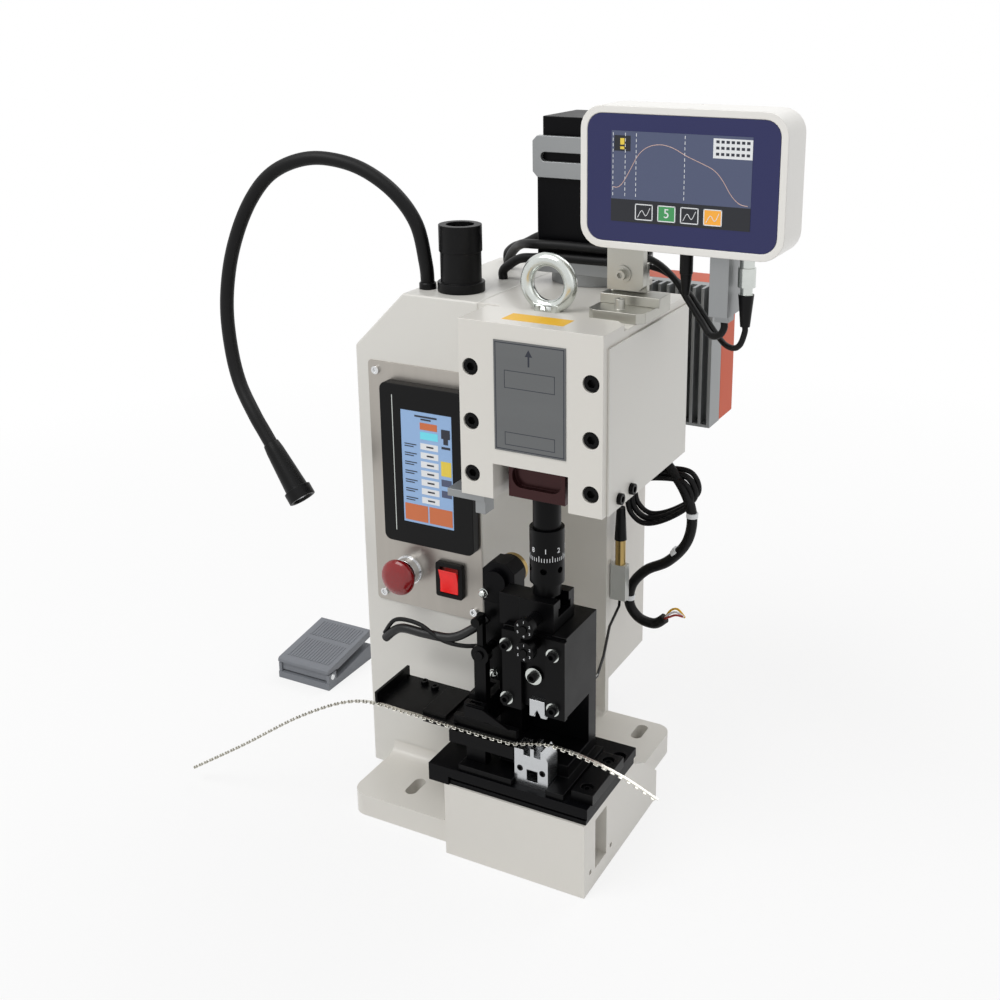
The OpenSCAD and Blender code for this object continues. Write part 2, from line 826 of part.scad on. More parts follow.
module drive_body() color("#a3a5a7")
  difference() {
    span([column_x1, drive_y0, drive_z0],
         [drive_x1, sink_y1, drive_z0 + sink_h]);
    for (x = [column_x1 + fin_t : fin_t + fin_gap : drive_x1 - fin_t - fin_gap])
      span([x, drive_y0 - over, drive_z0 + fin_t],
           [x + fin_gap, drive_y0 + fin_deep, drive_z0 + sink_h + over]);
  }

module drive_cover() color("#d9622b")
  span([column_x1, sink_y1, drive_z0],
       [drive_x1, sink_y1 + cover_d, drive_z0 + sink_h]);

// Monitor with its bracket and connectors
base_at = [head_x1 - 19.5, 37];
base_l = [52, 61, 9];
pivot_z = deck_z + base_l[2] + bracket_t + 17;
foot_y0 = base_at[1] - 4;
plate_d = 25;
foot_over = 4;
arm_w = 33.4;
arm_cut = 4;
arm_x0 = base_at[0] - 21;
arm_y0 = foot_y0 + 5;
mon_x0 = base_at[0] - 28.5;
mon_z0 = deck_z + 64;
mon_tip = [0, 0, mon_z0];
face_t = 1;
face_deep = 1.5;
lug_t = 6;
pivot_d = 9;
pivot_x = base_at[0] - 6;

module placed() {
  translate(mon_tip) children();
}

module monitor_base() color("#b9bcbe") {
  translate([base_at[0], base_at[1], deck_z]) linear_extrude(base_l[2])
    polygon([[-base_l[0] / 2 + 6, -base_l[1] / 2],
             [base_l[0] / 2 - 6, -base_l[1] / 2],
             [base_l[0] / 2, -base_l[1] / 2 + 6],
             [base_l[0] / 2, base_l[1] / 2],
             [-base_l[0] / 2, base_l[1] / 2],
             [-base_l[0] / 2, -base_l[1] / 2 + 6]]);
  translate([base_at[0], base_at[1] - base_l[1] / 2 + 12, deck_z + base_l[2]])
    socket_head(pivot_d, pivot_d);
}

module monitor_foot() color("#b4b7b9") {
  z0 = deck_z + base_l[2];
  span([base_at[0] - base_l[0] / 2 + over, foot_y0, z0],
       [base_at[0] + base_l[0] / 2 + foot_over, foot_y0 + plate_d,
        z0 + bracket_t]);
  span([arm_x0, arm_y0 + bracket_t + run_gap, z0 + bracket_t - over],
       [arm_x0 + arm_w, arm_y0 + bracket_t + run_gap + lug_t,
        pivot_z + 9]);
}

arm_clear = 3;
pad_l = 22;
pad_h = 5;

module monitor_arm() color("#c6c9cb") {
  z0 = deck_z + base_l[2] + bracket_t + arm_clear;
  along(arm_y0, arm_y0 + bracket_t)
    polygon([[arm_x0, z0], [arm_x0 + arm_w - arm_cut, z0],
             [arm_x0 + arm_w, z0 + arm_cut],
             [arm_x0 + arm_w, mon_z0 - pad_h + over],
             [arm_x0, mon_z0 - pad_h + over]]);
  placed()
    translate([arm_x0, arm_y0 - mon_tip[1] + bracket_t - pad_l, -pad_h])
      cube([arm_w, pad_l, pad_h]);
  forward([pivot_x, arm_y0, pivot_z]) {
    cylinder(d = pivot_d + 6, h = 1.5, $fn = turned);
    translate([0, 0, 1.5]) socket_head(pivot_d, 6);
  }
}

module monitor_shell() color("#e9e7e2")
  difference() {
    placed()
      translate([mon_x0 + mon_w / 2, mon_d, mon_h / 2])
        rotate([90, 0, 0]) linear_extrude(mon_d) pad2d(mon_w, mon_h, mon_r);
    placed()
      translate([mon_x0 + mon_w / 2, face_deep, mon_h / 2])
        rotate([90, 0, 0]) linear_extrude(face_deep + over)
          pad2d(mon_w - 12, mon_h - 12, mon_r - 6);
  }

module monitor_face() color("#2a2f86")
  placed()
    translate([mon_x0 + mon_w / 2, face_deep, mon_h / 2])
      rotate([90, 0, 0]) linear_extrude(face_t)
        pad2d(mon_w - 12.6, mon_h - 12.6, mon_r - 6.3);

dc_at = [115, 24];
hood_at = [149, 24];
bnc_at = [167, 24];
boot_l = 27;
plug_gap = 0.3;

module hang(at, z) {
  placed() translate([at[0], at[1], -plug_gap + z]) mirror([0, 0, 1])
    children();
}

module monitor_connectors() {
  color("#1a1a1c") hang(dc_at, 0) {
    cylinder(d = 11, h = 20, $fn = turned);
    translate([0, 0, 20]) cylinder(d1 = 10, d2 = 6, h = 18, $fn = turned);
  }
  color("#8d8c88") hang(hood_at, 0) {
    translate([-8, -16, 0]) cube([16, 32, 50]);
    translate([-6, -7, 50]) cube([12, 14, 6]);
  }
  color("#b0a48c") hang(bnc_at, 0) {
    cylinder(d = 12, h = 10, $fn = turned);
    translate([0, 0, 10]) cylinder(d = 14.5, h = 16, $fn = turned);
    translate([0, 0, 26]) cylinder(d = 10, h = 6, $fn = turned);
  }
  color("#1a1a1c") hang(bnc_at, 0)
    translate([0, 0, 32])
      cylinder(d1 = 13, d2 = 8, h = boot_l, $fn = turned);
}

// Routes of the monitor's leads over the deck: down, round and back
// behind the housing to the bracket's pivot
lead_end_y = 84;
hood_lead_z = pivot_z - deck_z + 8.5;
bnc_end = [bnc_at[0], bnc_at[1], mon_z0 - deck_z - plug_gap - 59.3];
hood_end = [hood_at[0], hood_at[1], mon_z0 - deck_z - plug_gap - 56.3];
bnc_route = [[167, 24, 0], [163, 26, -11], [156, 31, -16.5],
  [146, 37, -16], [135, 44, -9], [121, 51, 4], [106, 58, 18],
  [90, 65, 28], [74, 72, 33], [62, 75, 34.5]];
hood_route = [[149, 24.5, 1], [144, 28, -6], [134, 35, -9],
  [123, 43, -1], [108, 50, 14], [94, 57, 28], [78, 64, 38],
  [64, 70, 42.5]];

module monitor_cables() color("#1c1c1e")
  translate([0, 0, deck_z]) {
    tube(concat([bnc_end], bnc_route,
                [[pivot_x, lead_end_y - 5, pivot_z - deck_z],
                 [pivot_x, lead_end_y, pivot_z - deck_z]]), 5, 8, [1, 0, 0]);
    tube(concat([hood_end], hood_route,
                [[pivot_x, lead_end_y - 7, hood_lead_z],
                 [pivot_x, lead_end_y, hood_lead_z]]), 6, 8, [1, 0, 0]);
  }

// Leads over the deck: they cross the motor's foot and go down through it
lead_y = motor_at[1] - adaptor_w / 2 - 6;
lead_x = motor_at[0] - motor_w / 2 - run_gap;
lead_d = 9;
lead_a = [[46, 97, 33], [28, lead_y, 30], [-4, lead_y, 29],
  [-40, lead_y, 28.5], [-66, lead_y, 26], [-84, lead_y + 4, 23],
  [-98, lead_y + 8, 15], [-106, lead_y + 10, 8]];
lead_b = [[-80, 160, 39], [-96, 164, 33], [-114, 172, 24],
  [-132, 182, 17], [-142, 188, 10], [-144, 189, 6]];
lead_c = [[46, 98, 42], [28, lead_y, 40.5], [-4, lead_y, 40],
  [-40, lead_y, 40], [-66, lead_y, 39], [-84, lead_y + 11, 36],
  [-100, lead_y + 28, 29], [-114, lead_y + 42, 19],
  [-122, lead_y + 50, 10], [-124, lead_y + 52, 6]];

module deck_lead(start, p)
  tube(concat(start, p, [[p[len(p) - 1][0], p[len(p) - 1][1], run_gap]]),
       lead_d, 8, [0, 0, 1]);

module deck_cables() color("#1c1c1e")
  translate([0, 0, deck_z]) {
    deck_lead([[pivot_x, lead_end_y + 0.4, pivot_z - deck_z],
               [pivot_x, lead_end_y + 7, pivot_z - deck_z]], lead_a);
    deck_lead([[pivot_x, lead_end_y + 0.4, hood_lead_z + 1.5],
               [pivot_x, lead_end_y + 7, hood_lead_z + 1.5]], lead_c);
    deck_lead([[lead_x, 160, 39]], lead_b);
  }

// Harness on the right of the rear channel: stored loops and a tail
harness_tail = [[column_x1 + run_gap, 214, 330],
  [column_x1 + 12, 214, 330], [2, 213, 327], [26, 208, 312],
  [50, 202, 288], [61, 200, 260], [56, 200, 230], [36, 200, 205],
  [12, 200, 190], [-4, 200, 170], [-7, 200, 148], [4, 200, 133],
  [22, 200, 130], [34, 200, 139]];

module side_harness() color("#1c1c1e")
  tube(eased(harness_tail, 1), 11, 8, [0, 1, 0]);

// Sensor lead: coupling on the column side and a thin cable to the press
frame_y0 = -50;
frame_y1 = frame_y0 + frame_d;
boot_at = [column_x1 + 10.6, 186];
boot_z1 = 262;
lead_route = [[boot_at[0], boot_at[1], boot_z1 - 104],
  [boot_at[0], 184, 150], [-3, 140, 149], [18, 80, 150], [32, 36, 156],
  [34, 24, 158], [34, frame_y1 + run_gap, 158]];

module sensor_lead() {
  color("#1a1a1c") translate([boot_at[0], boot_at[1], boot_z1 - 36])
    cylinder(d1 = 13, d2 = 9, h = 36, $fn = turned);
  color("#b0a48c") translate([boot_at[0], boot_at[1], boot_z1 - 64])
    cylinder(d = 11, h = 28, $fn = turned);
  color("#b8b8b6")
    span([boot_at[0] - 9, boot_at[1] - 5, boot_z1 - 104],
         [boot_at[0] + 8, boot_at[1] + 5, boot_z1 - 64]);
  color("#151517") tube(eased(lead_route, 1), 3, 8, [1, 0, 0]);
}

// Applicator base and frame
frame_x0 = press_x - frame_w / 2;
frame_x1 = press_x + frame_w / 2;
frame_z1 = bol_z + frame_h;
plate_t = 6;
block_h = 18;
cut_z1 = bol_z + 68;
cut_y1 = frame_y0 + 46;
aram_y1 = ram_cy + aram_d / 2 - 1;
aram_y0 = aram_y1 - aram_d;
aram_z0 = aram_z1 - aram_l;
aram_x0 = press_x - aram_w / 2;
aram_x1 = press_x + aram_w / 2;
cam_w = 21;
cam_h = 30;
cam_y0 = aram_y0 + 2;
cam_y1 = aram_y0 + 22;
ram_front = frame_y0 + run_gap;
step_z = aram_z1 - 29;
carrier_w = 37;
carrier_y0 = -20;
carrier_y1 = -1;
carrier_z0 = bol_z + 68;
carrier_z1 = bol_z + 147;
rock_at = [frame_x0 - 27.5, bol_z + 106];
rock_d = 8;
rock_y1 = -38;
rock_t = 8;
pin_d = 6;
web_w = 22;

plate_y0 = -72;

module app_base() color("#1e1e21") {
  difference() {
    span([frame_x0 - carrier_w, plate_y0, bol_z],
         [bar_x0 - 5, frame_y1, bol_z + plate_t]);
    span([anvil_x0 - run_gap, plate_y0 - over, bol_z - over],
         [anvil_x0 + anvil_w + run_gap, anvil_y1, bol_z + plate_t + over]);
  }
  span([frame_x0 - 7, -47, bol_z + plate_t - over],
       [frame_x1, frame_y1, bol_z + block_h]);
}

module app_frame() color("#1e1e21") {
  difference() {
    span([frame_x0, frame_y0, bol_z + block_h],
         [frame_x1, frame_y1, frame_z1]);
    span([frame_x0 - over, frame_y0 - over, bol_z + block_h - over],
         [frame_x1 + over, cut_y1, cut_z1]);
    span([aram_x0 - run_gap, frame_y0 - over, cut_z1 - over],
         [aram_x1 + run_gap, aram_y1 + run_gap, frame_z1 + over]);
    span([frame_x0 - over, cam_y0 - run_gap, frame_z1 - stroke - 5],
         [aram_x0, cam_y1 + run_gap, frame_z1 + over]);
  }
  span([frame_x0 - carrier_w, carrier_y0, carrier_z0],
       [frame_x0 + over, carrier_y1, carrier_z1]);
  span([frame_x0 - web_w, carrier_y0, bol_z + block_h],
       [frame_x0 + over, carrier_y1, carrier_z0 + over]);
  forward([rock_at[0], carrier_y0 + over, rock_at[1]])
    cylinder(d = rock_d, h = over + carrier_y0 - rock_y1 + rock_t + 2,
             $fn = turned);
}

// Clamp strips in front of the ram, with their screws
strip_t = 5;
strip_z0 = cut_z1;
strip_z1 = frame_z1 - 2;
strip_lap = 6;
app_screw_d = 9;
app_screw_h = 5;

module app_strips() color("#232326") {
  for (side = [[frame_x0 + over, aram_x0 + strip_lap, app_screw_d / 2],
               [aram_x1 - strip_lap + 2 * over, frame_x1 + over,
                app_screw_d - over]]) {
    span([side[0], frame_y0 - strip_t, strip_z0],
         [side[1], frame_y0, strip_z1]);
    for (z = [strip_z0 + 9, strip_z1 - 14])
      forward([side[0] + side[2], frame_y0 - strip_t, z])
        socket_head(app_screw_d, app_screw_h);
  }
}

// Applicator ram: tee slot for the spindle, feed cam block and disc pins
disc_z1 = aram_z1 - 16;
disc_z2 = aram_z1 - 38;
disc_x = press_x;
disc_y1 = frame_y0 - strip_t - 7;
disc_t = 8;
hub_d = 12;
washer_z = aram_z1 - 70;

module app_ram() color("#1b1b1e") {
  difference() {
    union() {
      span([aram_x0, aram_y0, aram_z0], [aram_x1, aram_y1, aram_z1]);
      span([aram_x0, ram_front, aram_z0], [aram_x1, aram_y0 + over, step_z]);
      span([aram_x0 - cam_w, cam_y0, aram_z1 - cam_h],
           [aram_x0 + over, cam_y1, aram_z1]);
    }
    span([press_x - neck_w / 2, ram_cy - neck_w / 2, aram_z1 - lip_t],
         [aram_x1 + over, ram_cy + neck_w / 2, aram_z1 + over]);
    span([press_x - foot_d / 2 - run_gap, ram_cy - foot_d / 2 - run_gap,
          aram_z1 - lip_t - foot_h - 2 * run_gap],
         [aram_x1 + over, ram_cy + foot_d / 2 + run_gap, aram_z1 - lip_t]);
  }
  for (z = [disc_z1, disc_z2])
    forward([disc_x, aram_y0 + over, z])
      cylinder(d = pin_d, h = aram_y0 + over - disc_y1 + disc_t + 1,
               $fn = turned);
  forward([press_x, ram_front, washer_z]) {
    cylinder(d = 14, h = 2, $fn = turned);
    translate([0, 0, 2]) socket_head(app_screw_d, app_screw_h);
  }
}

// A numbered disc whose hub runs back to the ram's face at y
module number_disc(z, y) {
  difference() {
    union() {
      forward([disc_x, disc_y1, z])
        cylinder(d = disc_d, h = disc_t, $fn = turned);
      forward([disc_x, y - run_gap, z])
        cylinder(d = hub_d, h = y - run_gap - disc_y1 + over, $fn = turned);
    }
    forward([disc_x, y + over, z])
      cylinder(d = pin_d + run_gap, h = y - disc_y1 + disc_t + 2 * over,
               $fn = turned);
  }
}

module disc_upper() color("#26262a") number_disc(disc_z1, aram_y0);
module disc_lower() color("#26262a") number_disc(disc_z2, ram_front);

// Two forked punches that come down astride the anvil
punch_x = press_x + 5;
punch_t = 3;
punch_z0 = bol_z + anvil_h + punch_gap;
punch_z1 = washer_z - 21;
fork_w = 5.4;
fork_h = 9;

module punches() color("#b9bcc0")
  for (k = [0, 1])
    along(ram_front - (k + 1) * punch_t, ram_front - k * punch_t)
      polygon([[punch_x - punch_w / 2, punch_z1],
               [punch_x - punch_w / 2, punch_z0 + k * 2],
               [punch_x - fork_w / 2 - 1, punch_z0 + k * 2],
               [punch_x - fork_w / 2, punch_z0 + fork_h / 2],
               [punch_x, punch_z0 + fork_h],
               [punch_x + fork_w / 2, punch_z0 + fork_h / 2],
               [punch_x + fork_w / 2 + 1, punch_z0 + k * 2],
               [punch_x + punch_w / 2, punch_z0 + k * 2],
               [punch_x + punch_w / 2, punch_z1]]);

// Anvil block with its notch, blade and screws
anvil_y0 = -66;
anvil_y1 = -47;
anvil_x0 = punch_x - 17.7;
hole_w = 11;
hole_z0 = bol_z + 6;
hole_z1 = bol_z + 17.3;
anvil_step = 3;
anvil_deep = 8;
wing_w = 6;
blade_w = 3.6;

module anvil_block() color("#c4c7ca")
  difference() {
    union() {
      along(anvil_y0, anvil_y1 - run_gap)
        polygon([[anvil_x0, bol_z],
                 [anvil_x0, bol_z + anvil_h - anvil_step],
                 [punch_x - punch_w / 2 - over, bol_z + anvil_h - anvil_step],
                 [punch_x - punch_w / 2 - over, bol_z + anvil_h - anvil_deep],
                 [punch_x - blade_w / 2, bol_z + anvil_h - anvil_deep],
                 [punch_x - blade_w / 2, bol_z + anvil_h],
                 [punch_x + blade_w / 2, bol_z + anvil_h],
                 [punch_x + blade_w / 2, bol_z + anvil_h - anvil_deep],
                 [punch_x + punch_w / 2 + over, bol_z + anvil_h - anvil_deep],
                 [punch_x + punch_w / 2 + over, bol_z + anvil_h],
                 [anvil_x0 + anvil_w - wing_w, bol_z + anvil_h],
                 [anvil_x0 + anvil_w, bol_z + anvil_h - 1.5 * wing_w],
                 [anvil_x0 + anvil_w, bol_z]]);
    }
    span([punch_x - hole_w / 2, anvil_y0 - over, hole_z0],
         [punch_x + hole_w / 2, anvil_y1 + over, hole_z1]);
    for (x = [anvil_x0 + 5.5, anvil_x0 + anvil_w - 5.5])
      forward([x, anvil_y0 + 3, bol_z + 17])
        cylinder(d = 6, h = 3 + over, $fn = turned);
  }

// Feed side: track with its tray, slide on the rail, rocker on its pin
track_x0 = frame_x0 - 50;
track_x1 = anvil_x0 - 1;
track_z = bol_z + anvil_h - anvil_step - 1;
track_t = 12;
rail_h = 11;
rail_y0 = frame_y0 - 7;
rail_y1 = frame_y0 - 1;
tray_l = 82;
tray_t = 3;
tray_lap = 3;
tray_y0 = -60;
tray_y1 = -4;
tray_h = 13;
hold_x = [-103, -78];
hold_y = [-58, -13];
hold_z = [-5, 7];
guide_x = [-66, -43];
guide_y = [-36, -3];
guide_h = 23;
guide_slot = [6, 19];
shelf_t = 4;
slide_x0 = frame_x0 - 38;
slide_w = 21;
slide_h = 16;
slide_z0 = track_z + rail_h + run_gap;
finger_t = 3;
link_pin_d = 5;
link_z = bol_z + 56;
arm_half = 6;
fork_slot = 6;
horn_h = 40;
nut_d = 9;

module feed_track() color("#1f1f22") {
  span([track_x0, anvil_y0, track_z - track_t],
       [track_x1, rail_y1, track_z]);
  span([track_x0, rail_y0, track_z - over],
       [track_x1 - 2, rail_y1, track_z + rail_h]);
  span([frame_x0 - 34, frame_y0 - 12, bol_z + plate_t],
       [frame_x0 - 14, frame_y0 - 2, track_z - track_t]);
  span([track_x0 - tray_l, tray_y0, track_z],
       [track_x0 + tray_lap, tray_y1, track_z + tray_t]);
  span([track_x0 - tray_l - tray_t, tray_y0, track_z],
       [track_x0 - tray_l, tray_y1, track_z + tray_h]);
  span([hold_x[0], hold_y[0], track_z + hold_z[0]],
       [hold_x[1], hold_y[1], track_z + hold_z[1]]);
  span([track_x0, rail_y1 - over, track_z - shelf_t],
       [guide_x[1], guide_y[1], track_z]);
  difference() {
    span([guide_x[0], guide_y[0], track_z - over],
         [guide_x[1], guide_y[1], track_z + guide_h]);
    span([(guide_x[0] + guide_x[1] - guide_slot[0]) / 2,
          (guide_y[0] + guide_y[1] - guide_slot[1]) / 2, track_z + over],
         [(guide_x[0] + guide_x[1] + guide_slot[0]) / 2,
          (guide_y[0] + guide_y[1] + guide_slot[1]) / 2,
          track_z + guide_h + over]);
  }
}

module feed_slide() color("#2a2a2d") {
  difference() {
    span([slide_x0, rail_y0 - over, slide_z0],
         [slide_x0 + slide_w, rail_y1, slide_z0 + slide_h]);
    span([slide_x0 + 5, rail_y0 + 1, slide_z0 + slide_h - 4],
         [slide_x0 + slide_w - 5, rail_y1 - 1, slide_z0 + slide_h + over]);
  }
  along(rail_y0 - over - finger_t, rail_y0 - over)
    polygon([[slide_x0 + 3, slide_z0 + slide_h - 2],
             [slide_x0 + 3, slide_z0 + 4],
             [track_x1 - 10, slide_z0 + 1.5], [track_x1 - 7, slide_z0 + 1.5],
             [slide_x0 + slide_w, slide_z0 + slide_h - 2]]);
  forward([rock_at[0], rock_y1 - 1, link_z])
    cylinder(d = link_pin_d, h = rock_y1 - rail_y1, $fn = turned);
}

module feed_lever() color("#4a4a4e")
  difference() {
    union() {
      span([rock_at[0] - arm_half, rock_y1 - rock_t, link_z - arm_half],
           [rock_at[0] + arm_half, rock_y1, rock_at[1]]);
      forward([rock_at[0], rock_y1, rock_at[1]])
        cylinder(d = 3 * arm_half, h = rock_t, $fn = turned);
      span([rock_at[0] - arm_half / 2, rock_y1 - rock_t + 1, rock_at[1]],
           [rock_at[0] + arm_half / 2, rock_y1 - 1, rock_at[1] + horn_h]);
      forward([rock_at[0], rock_y1 - rock_t + over,
               rock_at[1] + horn_h - nut_d / 2])
        cylinder(d = nut_d, h = rock_t, $fn = turned);
    }
    forward([rock_at[0], rock_y1 + over, rock_at[1]])
      cylinder(d = rock_d + run_gap, h = rock_t + 2 * over, $fn = turned);
    span([rock_at[0] - fork_slot / 2, rock_y1 - rock_t - over,
          link_z - arm_half - over],
         [rock_at[0] + fork_slot / 2, rock_y1 + over,
          link_z + link_pin_d / 2 + 1]);
  }

// Round cylinder behind an eight-sided block, on the bracket
cyl_x = frame_x0 - carrier_w / 2 - 3;
cyl_z = carrier_z1 + 24;
cyl_d = 31;
cyl_l = 5;
ring_d = 29;
ring_l = 6;
nose_d = 21;
nose_l = 5;
block_half = 16.5;
block_cut = 8.5;

module feed_cylinder() {
  color("#222225")
    facing_front([cyl_x, carrier_y1, cyl_z], carrier_y1 - carrier_y0)
      polygon([[-block_half, carrier_z1 - cyl_z],
               [block_half, carrier_z1 - cyl_z],
               [block_half, block_half - block_cut],
               [block_half - block_cut, block_half],
               [block_cut - block_half, block_half],
               [-block_half, block_half - block_cut]]);
  color("#222225") forward([cyl_x - over, carrier_y0 + over, cyl_z - over])
    cylinder(d = nose_d, h = nose_l + over, $fn = turned);
  color("#1b1b1d") forward([cyl_x, carrier_y1 + cyl_l, cyl_z])
    cylinder(d = cyl_d, h = cyl_l + over, $fn = turned);
  color("#b09a68") forward([cyl_x, carrier_y1 + cyl_l + ring_l, cyl_z])
    cylinder(d = ring_d, h = ring_l + over, $fn = turned);
}

// Carrier strip: hangs in from the left and droops on past the anvil
strip_route = [[-362, -90, -113], [-298, -84, -71], [-228, -76, -23],
  [-170, -68, 3.5], [-114, -64.5, 4], [-72, -63.5, 2.1], [-12, -63.5, 2.1],
  [2, -63.5, 4.5], [15, -63.5, 8], [34, -63, 11], [67, -63, 8],
  [102, -62, -1], [133, -62, -13]];

module terminal_strip() color("#c9c9c4")
  translate([0, 0, track_z])
    tube(eased(strip_route, 1), 5, 4, [0, 1, 1]);

// Foot pedal: base with cheeks, treadle on its pin
pedal_x0 = cab_x0 - 200.4;
pedal_x1 = pedal_x0 + pedal_w;
pedal_y0 = 111;
pedal_y1 = pedal_y0 + pedal_l;
cheek_t = 4;
hinge_at = [pedal_y0 + 8, 14];
hinge_d = 5;
treadle_t = 9;

module pedal_base() color("#5d6166") {
  across(pedal_x0, pedal_x1)
    polygon([[pedal_y0, 0], [pedal_y0, 8], [pedal_y0 + 18, 9],
             [pedal_y1, pedal_h - 19], [pedal_y1, 0]]);
  for (x = [pedal_x0, pedal_x1 - cheek_t])
    span([x, pedal_y0 + 1, 7], [x + cheek_t, pedal_y0 + 15, 19]);
  rightward([pedal_x0 + over, hinge_at[0], hinge_at[1]])
    cylinder(d = hinge_d, h = pedal_w - 2 * over, $fn = turned);
}

module pedal_treadle() color("#6b7076")
  difference() {
    union() {
      across(pedal_x0, pedal_x1)
        polygon([[pedal_y0, 20.3], [pedal_y0, 24], [pedal_y0 + 2, 26],
                 [pedal_y1, pedal_h], [pedal_y1, pedal_h - 9],
                 [pedal_y0 + 18, 19], [pedal_y0 + 15.5, 20.3]]);
      across(pedal_x0 + cheek_t + run_gap, pedal_x1 - cheek_t - run_gap)
        polygon([[pedal_y0 + 3, 10], [pedal_y0 + 3, 22], [pedal_y0 + 14, 22],
                 [pedal_y0 + 14, 10]]);
    }
    rightward([pedal_x0 - over, hinge_at[0], hinge_at[1]])
      cylinder(d = hinge_d + run_gap, h = pedal_w + 2 * over, $fn = turned);
  }

// Cord of the pedal, its stored loops behind the machine and its glands
coil_at = [-190, 330];
coil_step = cord_d + 0.8;
coil_turns = coil_loops + 0.5;
coil_rings = 24;
wind_r = coil_r + cord_d / 2;
wind_z0 = cord_d / 2;
relief_l = 14;
relief_d = cord_d + 5;
relief_z = 9;
gland_z = 40;
gland_l = 18;
gland_d = 16;
wind_last = coil_rings * coil_turns;
wind_end = [coil_at[0] + wind_r, coil_at[1] - cord_d,
            wind_z0 + coil_step * coil_turns];
winding = concat(
  [[coil_at[0] - wind_r, coil_at[1] - cord_d, wind_z0]],
  [for (k = [0 : wind_last])
     let (a = 180 - 360 * k / coil_rings)
       [coil_at[0] + wind_r * cos(a), coil_at[1] + wind_r * sin(a),
        wind_z0 + coil_step * k / coil_rings]],
  [wind_end]);
coil_gap = min([for (i = [0 : len(winding) - 1])
                  for (j = [i + coil_rings / 2 : 1 : len(winding) - 1])
                    norm(winding[i] - winding[j])]) - cord_d;
echo(coil_gap = coil_gap);
pedal_mid = pedal_x0 + pedal_w / 2;
cord_out = [pedal_mid, pedal_y1 + relief_l + run_gap, relief_z];
cord_route = [[pedal_mid, pedal_y1 + relief_l + cord_d, relief_z],
  [-379, 228, 6], [-371, 246, 3.6], [-346, 262, 3.4], [-312, 268, 3.4],
  [-286, 280, 3.4], [-273, 302, 3.2],
  winding[0] - [0, cord_d, 0]];
inlet_at = [wind_end[0], cab_y1 + gland_l + run_gap, gland_z];
inlet_route = [wind_end - [0, cord_d, 0], [-109, 300, 21.5],
  [-109, 276, 27], [-109, 250, 35], [-109, 236, 39],
  inlet_at + [0, cord_d, 0]];

module pedal_cord() color("#2a2a2c") {
  tube(concat([cord_out], eased(cord_route, 2), [winding[0]]),
       cord_d, 8, [0, 0, 1]);
  tube(concat([wind_end], eased(inlet_route, 2), [inlet_at]),
       cord_d, 8, [0, 0, 1]);
}

module pedal_coil() color("#2a2a2c") tube(winding, cord_d, 6, [0, 0, 1]);

module cord_glands() color("#1d1d1f") {
  translate([pedal_mid, pedal_y1, relief_z]) rotate([-90, 0, 0])
    cylinder(d1 = relief_d, d2 = cord_d + 1, h = relief_l, $fn = turned);
  translate([inlet_at[0], cab_y1, gland_z]) rotate([-90, 0, 0]) {
    cylinder(d = gland_d + 4, h = 6, $fn = 6);
    cylinder(d1 = gland_d, d2 = cord_d + 2, h = gland_l, $fn = turned);
  }
}

base_casting();
column();
rear_box();
head_frame();
head_cap();
frame_screws();
side_panel();
deck_plate();
cabinet_shell();
leg_bracket();
bolster_lower();
bolster_upper();
bolster_clamps();
ram_block();
spindle();
dial();
control_panel();
hmi_bezel();
hmi_glass();
estop_collar();
estop_cap();
rocker_bezel();
rocker_key();
reel_socket();
eye_bolt();
gooseneck();
lamp_head();
motor_body();
motor_adaptor();
motor_strap();
drive_body();
drive_cover();
monitor_base();
monitor_foot();
monitor_arm();
monitor_shell();
monitor_face();
monitor_connectors();
monitor_cables();
deck_cables();
side_harness();
sensor_lead();
app_base();
app_frame();
app_strips();
app_ram();
disc_upper();
disc_lower();
punches();
anvil_block();
feed_track();
feed_slide();
feed_lever();
feed_cylinder();
terminal_strip();
pedal_base();
pedal_treadle();
pedal_cord();
pedal_coil();
cord_glands();
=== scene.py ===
import json
import math
import bpy
from mathutils import Matrix, Vector


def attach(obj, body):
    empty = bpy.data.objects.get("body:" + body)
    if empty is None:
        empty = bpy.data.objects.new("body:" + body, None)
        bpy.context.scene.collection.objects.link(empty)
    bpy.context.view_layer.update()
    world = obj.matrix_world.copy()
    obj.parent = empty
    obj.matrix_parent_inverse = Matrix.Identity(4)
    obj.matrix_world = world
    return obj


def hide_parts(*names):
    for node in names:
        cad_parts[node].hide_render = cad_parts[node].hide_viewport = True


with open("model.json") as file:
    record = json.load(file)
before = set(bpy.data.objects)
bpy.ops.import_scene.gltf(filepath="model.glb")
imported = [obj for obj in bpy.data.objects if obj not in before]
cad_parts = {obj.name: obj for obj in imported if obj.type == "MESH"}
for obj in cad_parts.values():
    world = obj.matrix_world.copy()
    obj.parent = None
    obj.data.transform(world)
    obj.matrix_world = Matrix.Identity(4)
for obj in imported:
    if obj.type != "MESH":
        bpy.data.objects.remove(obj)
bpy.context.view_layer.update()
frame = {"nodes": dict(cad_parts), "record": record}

nodes = frame["nodes"]
record = frame["record"]
bodyOf = {n: b for b, names in record["behaviour"]["bodies"].items() for n in names}
mm = 0.001
print("stage: frame loaded,", len(nodes), "nodes")


# Camera
view = dict(place=(0.48235, -0.93558, 0.77503), yaw=26.4, pitch=16.2, focal=1275.0, centre=(567.0, 361.0),
            image=1000.0, sensor=36.0)
bpy.ops.object.select_all(action="DESELECT")
bpy.ops.object.camera_add(location=view["place"],
                          rotation=(math.radians(90 - view["pitch"]), 0, math.radians(view["yaw"])))
camera = bpy.context.object
camera.data.sensor_width = view["sensor"]
camera.data.lens = view["sensor"] * view["focal"] / view["image"]
camera.data.shift_x = 0.5 - view["centre"][0] / view["image"]
camera.data.shift_y = view["centre"][1] / view["image"] - 0.5
camera.data.clip_end = 20.0
bpy.context.scene.camera = camera
print("stage: camera")


